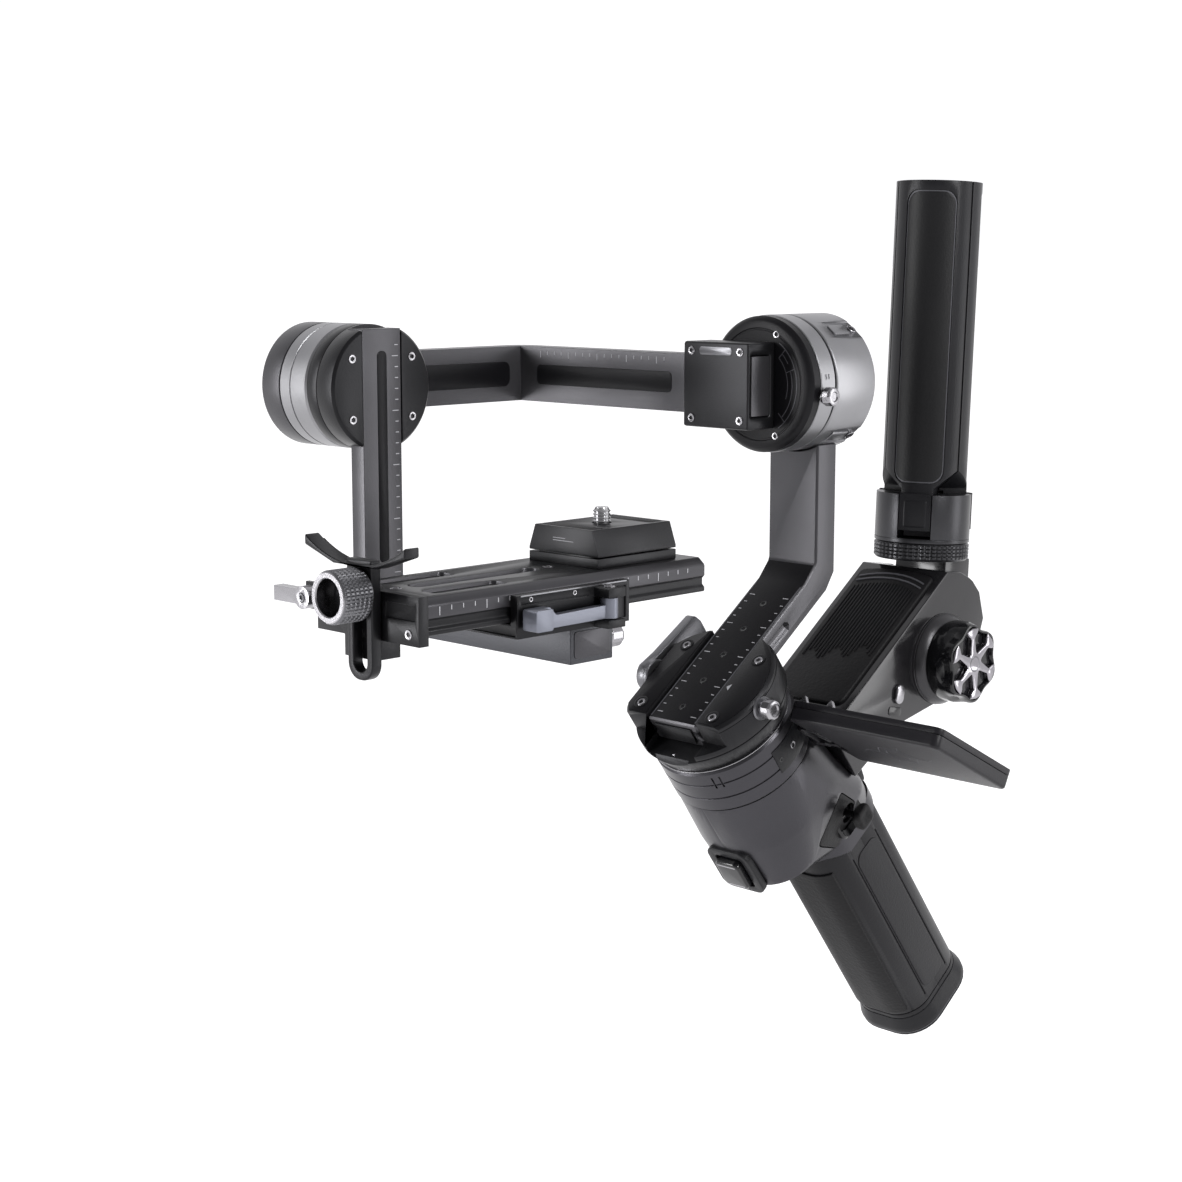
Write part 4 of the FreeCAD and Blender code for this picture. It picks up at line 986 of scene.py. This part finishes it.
def handle():
    for node in ("handle_front_shell", "handle_rear_shell"):
        cutters = []
        for side in (-1, 1):
            for b in (10.6, 27.4):
                cutters.append(tool_block(tuple(sorted((side * 17.0, side * 20))), (b - 0.35, b + 0.35),
                                          (-181, -97), PAN))
        seam = ((3, -184.6), (3, -184.1), (-0.4, -184.1), (-0.4, -184.6))
        cutters.append(tool_hoop(handle_rings(seam), PAN))
        dress(node, "handle_plastic", 0.2, 2, 50, cutters)
    for side, name in ((1, "left"), (-1, "right")):
        strip_frame = facing(PAN, (side * 17.5, 19, -139), (side, 0, 0), (0, 0, 1))
        pad("handle-strip-" + name, (-40.5, 41), (-7.4, 7.4), 4.5, (-0.4, 0.4), strip_frame, "handle_plastic",
            "handle", 0.25, 8, 3)
    dress("grip_inlay", "rubber", 0.35)
    profile = ((0.2, -187.0), (1.7, -191.6), (2.0, -192.9), (1.9, -193.6), (1.2, -194.0), (1.2, -194.5),
               (1.9, -194.9), (1.6, -195.6), (0.8, -196.0))
    cap = stack("handle-end-cap", handle_rings(profile), PAN, "shell_plastic", "handle", 35)
    bore = tool_bore(8.0, -200, -180, moved_frame(PAN, 0, 19))
    finish_piece(carve(cap, bore), "handle_end_cap")
    profile = ((1.3, -194.0), (1.75, -194.15), (1.75, -194.4), (1.3, -194.5), (0.6, -194.4), (0.6, -194.1))
    finish_piece(hoop("cap-rim", handle_rings(profile), PAN, "dull_silver", "handle"))
    handle_end = moved_frame(PAN, 0, 19, -196)
    thread = [(8.0, 9), (8.0, 0.6), (7.5, 0), (3.9, 0), (3.5, 0.5)]
    for index in range(6):
        thread += [(3.175, 1.0 + index * 1.2), (3.45, 1.6 + index * 1.2)]
    thread += [(3.175, 8.4), (3.175, 9)]
    finish_piece(lathe("thread-insert", thread, handle_end, "steel", "handle", 64), "tripod_insert")
    screw_ring("cap-screw", turned_frame(handle_end, 180, "X"), 12, 0, (-90, -210, -330), 1.6, "handle",
               "dull_silver", head=0.0)


# ---------------------------------------------------------------- sling arm and grip

def sling():
    dress("sling_arm", "sling_gloss", 4.0, 8)
    pad_frame = moved_frame(PAN, z=-40)
    outline = [(-17.8, 40), (17.8, 40), (18.2, 113), (9, 114.6), (0, 115), (-9, 114.6), (-18.2, 113)]
    cushion = extrude("sling-pad", rounded(outline, [5, 5, 3, 8, 8, 8, 3], 6), -1.0, 1.45, pad_frame,
                      "rubber",
                      "handle")
    finish_piece(edge(cushion, 0.8, 3), "sling_pad")
    ribs = []
    for index in range(20):
        x = -15.2 + index * 1.6
        fade = 62 + 3.0 * math.sin(index * 0.9) + 8.0 * (index / 20.0)
        end = 106.5 - 3.5 * (x / 15.0) ** 2
        ribs.append(((x - 0.42, x + 0.42), (fade, end), (1.3, 1.9)))
    finish_piece(edge(slabs("sling-pad-ribs", ribs, pad_frame, "rubber", "handle"), 0.25, 2))
    arcs = [[(x, offset - 3.4 * (x / 16.0) ** 2) for x in (-16.2, -12.5, -8.5, -4, 0, 4, 8.5, 12.5, 16.2)]
            for offset in (109.2, 111.8)]
    finish_piece(line_plate("sling-pad-lines", arcs, 0.6, 1.4, 1.9, pad_frame, "line_grey", "handle"))
    boss = lathe("sling-boss", [(4.2, 20.6), (18.6, 20.6), (18.7, 21.2), (18.3, 21.8), (4.2, 21.8)], KNOB,
                 "boss_grey", "handle", 96)
    finish_piece(boss)
    latch = facing(PAN, (21.5, 66, -58), (1, 0, 0), (0, 1, 0.9))
    pad("sling-latch", (-3.9, 3.9), (-2.5, 2.5), 2.45, (-0.2, 1.6), latch, "silver_metal", "handle", 0.6, 8,
        3)
    pad("sling-port", (-1.8, 1.8), (-4.4, 3.6), 1.4, (-0.3, 0.3), moved_frame(latch, -7.0, 1.0),
        "gloss_black",
        "handle", 0.15, 6)
    sling_knob()


def sling_knob():
    finish_piece(lathe("sling-knob-base",
                       [(4.2, 21.95), (18.3, 21.95), (18.5, 22.3), (18.3, 22.9), (17.3, 24.3),
                        (16.4, 25.3), (15.4, 25.9), (4.2, 25.9)], KNOB, "boss_grey",
                       "sling_knob",
                       96))
    round_part = ((4.0, -24), (4.0, 25.6), (15.0, 25.6), (16.2, 26.2), (16.4, 27.0), (16.4, 31.0))
    lobed_part = ((16.4, 0.9, 32.2), (16.4, 2.1, 33.4), (16.4, 2.1, 36.2), (15.9, 2.1, 37.1),
                  (15.2, 2.1, 37.3),
                  (14.6, 2.0, 36.7), (14.2, 2.0, 35.6))
    rings = [circle(*ring, 120) for ring in round_part] + [lobed(*ring) for ring in lobed_part]
    finish_piece(stack("sling-knob", rings, KNOB, "gloss_black", "sling_knob", 30), "sling_knob")
    spoke = [(4.6, -1.5), (10.4, -1.1), (12.0, -2.9), (13.8, -3.9), (14.5, 0.0), (13.8, 3.9), (12.0, 2.9),
             (10.4, 1.1)]
    star = []
    for index in range(6):
        turn = math.radians(60 * index)
        star += [(r * math.cos(turn) - side * math.sin(turn), r * math.sin(turn) + side * math.cos(turn))
                 for r, side in spoke]
        star.append((4.5 * math.cos(turn + math.radians(30)), 4.5 * math.sin(turn + math.radians(30))))
    star = extrude("sling-knob-star", star, 35.5, 37.9, KNOB, "chrome", "sling_knob")
    finish_piece(edge(star, 0.5, 3, 30))
    finish_piece(lathe("sling-knob-cap",
                       [(0, 36.6), (3.4, 36.6), (3.4, 37.8), (3.0, 38.0), (2.2, 37.8), (0, 37.5)],
                       KNOB, "dull_silver", "sling_knob", 48))
    finish_piece(lathe("sling-knob-nut",
                       [(0, -26.9), (6.6, -26.9), (7.8, -26.2), (8, -25.4), (8, -22.2), (7.6, -21.95),
                        (0, -21.95)], KNOB, "black_anodised", "sling_knob", 64))
    screw("sling-nut-screw", moved_frame(turned_frame(KNOB, 180, "X"), 0, 0, 26.9), 3.6, "sling_knob",
          head=0.0)


def grip():
    dress("sling_head", "sling_gloss", 0.8)
    band = tool_ring([(18.3, -17.6), (20.5, -17.6), (20.5, -9.6), (18.3, -9.6)], GRIP)
    line = tool_ring([(18.9, -8.3), (20.5, -8.3), (20.5, -7.9), (18.9, -7.9)], GRIP)
    dress("grip_hub", "collar_grey", 0.5, tools=[band, line])
    knurled("grip-collar", GRIP, 19.3, 18.2, (-16.9, -9.8), "sling_head", "collar_grey", 52, 4)
    for index, turn in enumerate((-64, 56, 176), start=1):
        body_name = "leg_%d" % index
        shape = {"turn": turn, "half": 10.8, "span": (14.4, 131.5), "corner": 5.4, "place": GRIP,
                 "body": body_name}
        notch = curved_panel("cutter", radii=(16.55, 19), paint="rubber", **shape)
        brow = tool_ring([(17.2, 10.4), (24, 10.4), (24, 24), (17.2, 24)], GRIP)
        dress("tripod_leg_%d" % index, "leg_plastic", 0.7, tools=[brow, notch])
        shape.update(half=10.5, span=(14.7, 131.2))
        finish_piece(curved_panel("leg-border-%d" % index, radii=(16.4, 16.75), paint="line_grey", **shape))
        shape.update(half=10.0, span=(15.2, 130.7), corner=5.0)
        finish_piece(edge(curved_panel("leg-panel-%d" % index, radii=(16.5, 17.0), paint="leg_panel",
                                       **shape), 0.2,
                          2))
        spoke = turned_frame(GRIP, turn)
        tab = block("leg-foot-%d" % index, (16.0, 18.9), (-5.2, 5.2), (-3.8, 8.4), spoke, "leg_plastic",
                    body_name)
        finish_piece(edge(tab, 1.4, 4))
        for side in (-1, 1):
            pin = facing(spoke, (13.5, side * 9.0, 0), (0, side, 0), (0, 0, 1))
            finish_piece(lathe("leg-pin-%d-%s" % (index, "ab"[side > 0]),
                               [(0, -1), (1.7, -1), (1.7, 0.2), (1.4, 0.4),
                                (0, 0.4)], pin, "silver_metal",
                               "sling_head", 32))


# ---------------------------------------------------------------- screen

def screen():
    dress("screen_bracket", "screen_plastic", 0.5)
    dress("screen_swivel", "gloss_black", 0.4, 2)
    rings = []
    for grow, z in ((2, 1.2), (2, 1.5), (-0.4, 1.5), (-0.4, 1.2)):
        outline = round_rect((1.2 - grow, 67.5 + grow), (-25 - grow, 25 + grow), 3 + grow, 5)
        rings.append([(x, y, z) for x, y in outline])
    dress("screen_shell", "screen_plastic", 0.4, 2, 25, [tool_hoop(rings, SCREEN)])
    glass = extrude("screen-glass", round_rect((9.6, 65.2), (-20.8, 20.8), 1.0, 4), 2.55, 3.55, SCREEN,
                    "display_glass", "screen")
    finish_piece(edge(glass, 0.2, 2), "screen_glass")
    back = facing(SCREEN, (36, 0, -3.75), (0, 0, -1), (1, 0, 0))
    strokes = []
    for radius in (5.0, 8.5):
        strokes.append([(radius * math.cos(math.radians(60 * i)), radius * math.sin(math.radians(60 * i)))
                        for i in range(7)])
    strokes += [[(8.5, 0), (14, 0), (17, 3)], [(-8.5, 0), (-14, 0), (-17, -3)],
                [(4.25, 7.36), (7, 12)], [(-4.25, -7.36), (-7, -12)]]
    finish_piece(line_plate("screen-back-lines", strokes, 0.34, -0.05, 0.06, back, "line_grey", "screen"))
    end = facing(SCREEN, (66.03, -14, 0), (math.cos(math.radians(32)), 0, -math.sin(math.radians(32))),
                 (0, 1, 0))
    finish_piece(slabs("screen-end-mark", [((-2.2, 2.2), (-0.3, 0.3), (-0.05, 0.06))], end, "mark_white",
                       "screen"))
    for index, x in enumerate((5.2, 17.4), start=1):
        tip = facing(SCREEN, (x, -22.6, 3.7), (0, -1, 0), (1, 0, 0))
        wedge = extrude("screen-lug-%d" % index, rounded([(-2.4, -0.4), (2.4, -0.4), (0.3, 3.0)], 0.4, 3),
                        -0.9, 0.9,
                        tip, "silver_metal", "screen")
        finish_piece(edge(wedge, 0.25, 2))


# ---------------------------------------------------------------- CAD nodes that keep their shape

def paint_cad_nodes():
    """Give every CAD node the paint of its record slot. The ones that no piece replaces keep their shape."""
    slot_of = {row["node"]: row["material_slot"] for row in frame["record"]["subparts"]}
    for name, node in frame["nodes"].items():
        node.data.materials.clear()
        node.data.materials.append(PAINT[slot_of[name]])


def camera():
    """The photograph's view: from the lens side of the operator's left, a little above."""
    data = bpy.data.cameras.new("camera")
    made = bpy.data.objects.new("camera", data)
    bpy.context.scene.collection.objects.link(made)
    azimuth, elevation = math.radians(45), math.radians(9)
    made.location = Vector((537.17, -542.54, 96.54)) * MM
    forward = Vector((-math.sin(azimuth) * math.cos(elevation), math.cos(azimuth) * math.cos(elevation),
                      -math.sin(elevation)))
    made.rotation_mode = "QUATERNION"
    made.rotation_quaternion = forward.to_track_quat("-Z", "Y")
    data.sensor_width = 36.0
    data.lens = 66.82
    data.clip_start, data.clip_end = 0.01, 50.0
    bpy.context.scene.camera = made


def softbox(name, location, target, size, power):
    data = bpy.data.lights.new(name, "AREA")
    data.shape = "RECTANGLE"
    data.size, data.size_y = size
    data.energy = power
    made = bpy.data.objects.new(name, data)
    made.location = location
    made.rotation_mode = "QUATERNION"
    made.rotation_quaternion = (Vector(target) - Vector(location)).to_track_quat("-Z", "Y")
    bpy.context.scene.collection.objects.link(made)


def studio():
    """A pale floor, a pale surround and three soft lights."""
    mesh = bpy.data.meshes.new("floor")
    reach, height = 30.0, cad_low.z - 0.06
    mesh.from_pydata([(-reach, -reach, height), (reach, -reach, height), (reach, reach, height),
                      (-reach, reach, height)], [], [(0, 1, 2, 3)])
    floor = bpy.data.objects.new("floor", mesh)
    bpy.context.scene.collection.objects.link(floor)
    pale = bpy.data.materials.new("floor")
    pale.use_nodes = True
    shader = pale.node_tree.nodes["Principled BSDF"]
    shader.inputs["Base Color"].default_value = (0.5, 0.498, 0.503, 1)
    shader.inputs["Roughness"].default_value = 1.0
    shader.inputs["Specular IOR Level"].default_value = 0.0
    shader.inputs["Emission Color"].default_value = (1.0, 0.995, 1.0, 1)
    shader.inputs["Emission Strength"].default_value = 0.86
    mesh.materials.append(pale)

    world = bpy.data.worlds.new("surround")
    world.use_nodes = True
    tree = world.node_tree
    sky = tree.nodes["Background"]
    sky.inputs["Color"].default_value = (0.985, 0.98, 1.0, 1)
    place = tree.nodes.new("ShaderNodeTexCoord")
    toward = tree.nodes.new("ShaderNodeVectorMath")
    toward.operation = "DOT_PRODUCT"
    toward.inputs[1].default_value = (-0.55, 0.80, -0.25)
    link(tree, place, "Generated", toward, 0)
    fall = tree.nodes.new("ShaderNodeMapRange")
    fall.interpolation_type = "SMOOTHSTEP"
    fall.inputs["From Min"].default_value = -0.45
    fall.inputs["From Max"].default_value = 0.35
    fall.inputs["To Min"].default_value = 0.34
    fall.inputs["To Max"].default_value = 1.04
    link(tree, toward, "Value", fall, "Value")
    shown = tree.nodes.new("ShaderNodeMath")
    shown.operation = "MAXIMUM"
    link(tree, fall, "Result", shown, 0)
    link(tree, tree.nodes.new("ShaderNodeLightPath"), "Is Camera Ray", shown, 1)
    link(tree, shown, 0, sky, "Strength")
    bpy.context.scene.world = world

    centre = (0, 0.03, -0.03)
    softbox("key", (0.95, 0.05, 0.55), centre, (0.25, 0.6), 9)
    softbox("side", (0.80, 0.75, -0.02), centre, (0.35, 1.0), 4)
    softbox("front", (-0.70, -1.00, 0.10), centre, (0.28, 1.1), 13)
    bpy.context.scene.view_settings.view_transform = "Standard"


pan_motor()
pan_clamp()
pan_arm()
roll_motor()
roll_arm()
tilt_stage()
plate_clamp()
plates()
lens_support()
body()
handle()
sling()
grip()
screen()
paint_cad_nodes()
camera()
studio()
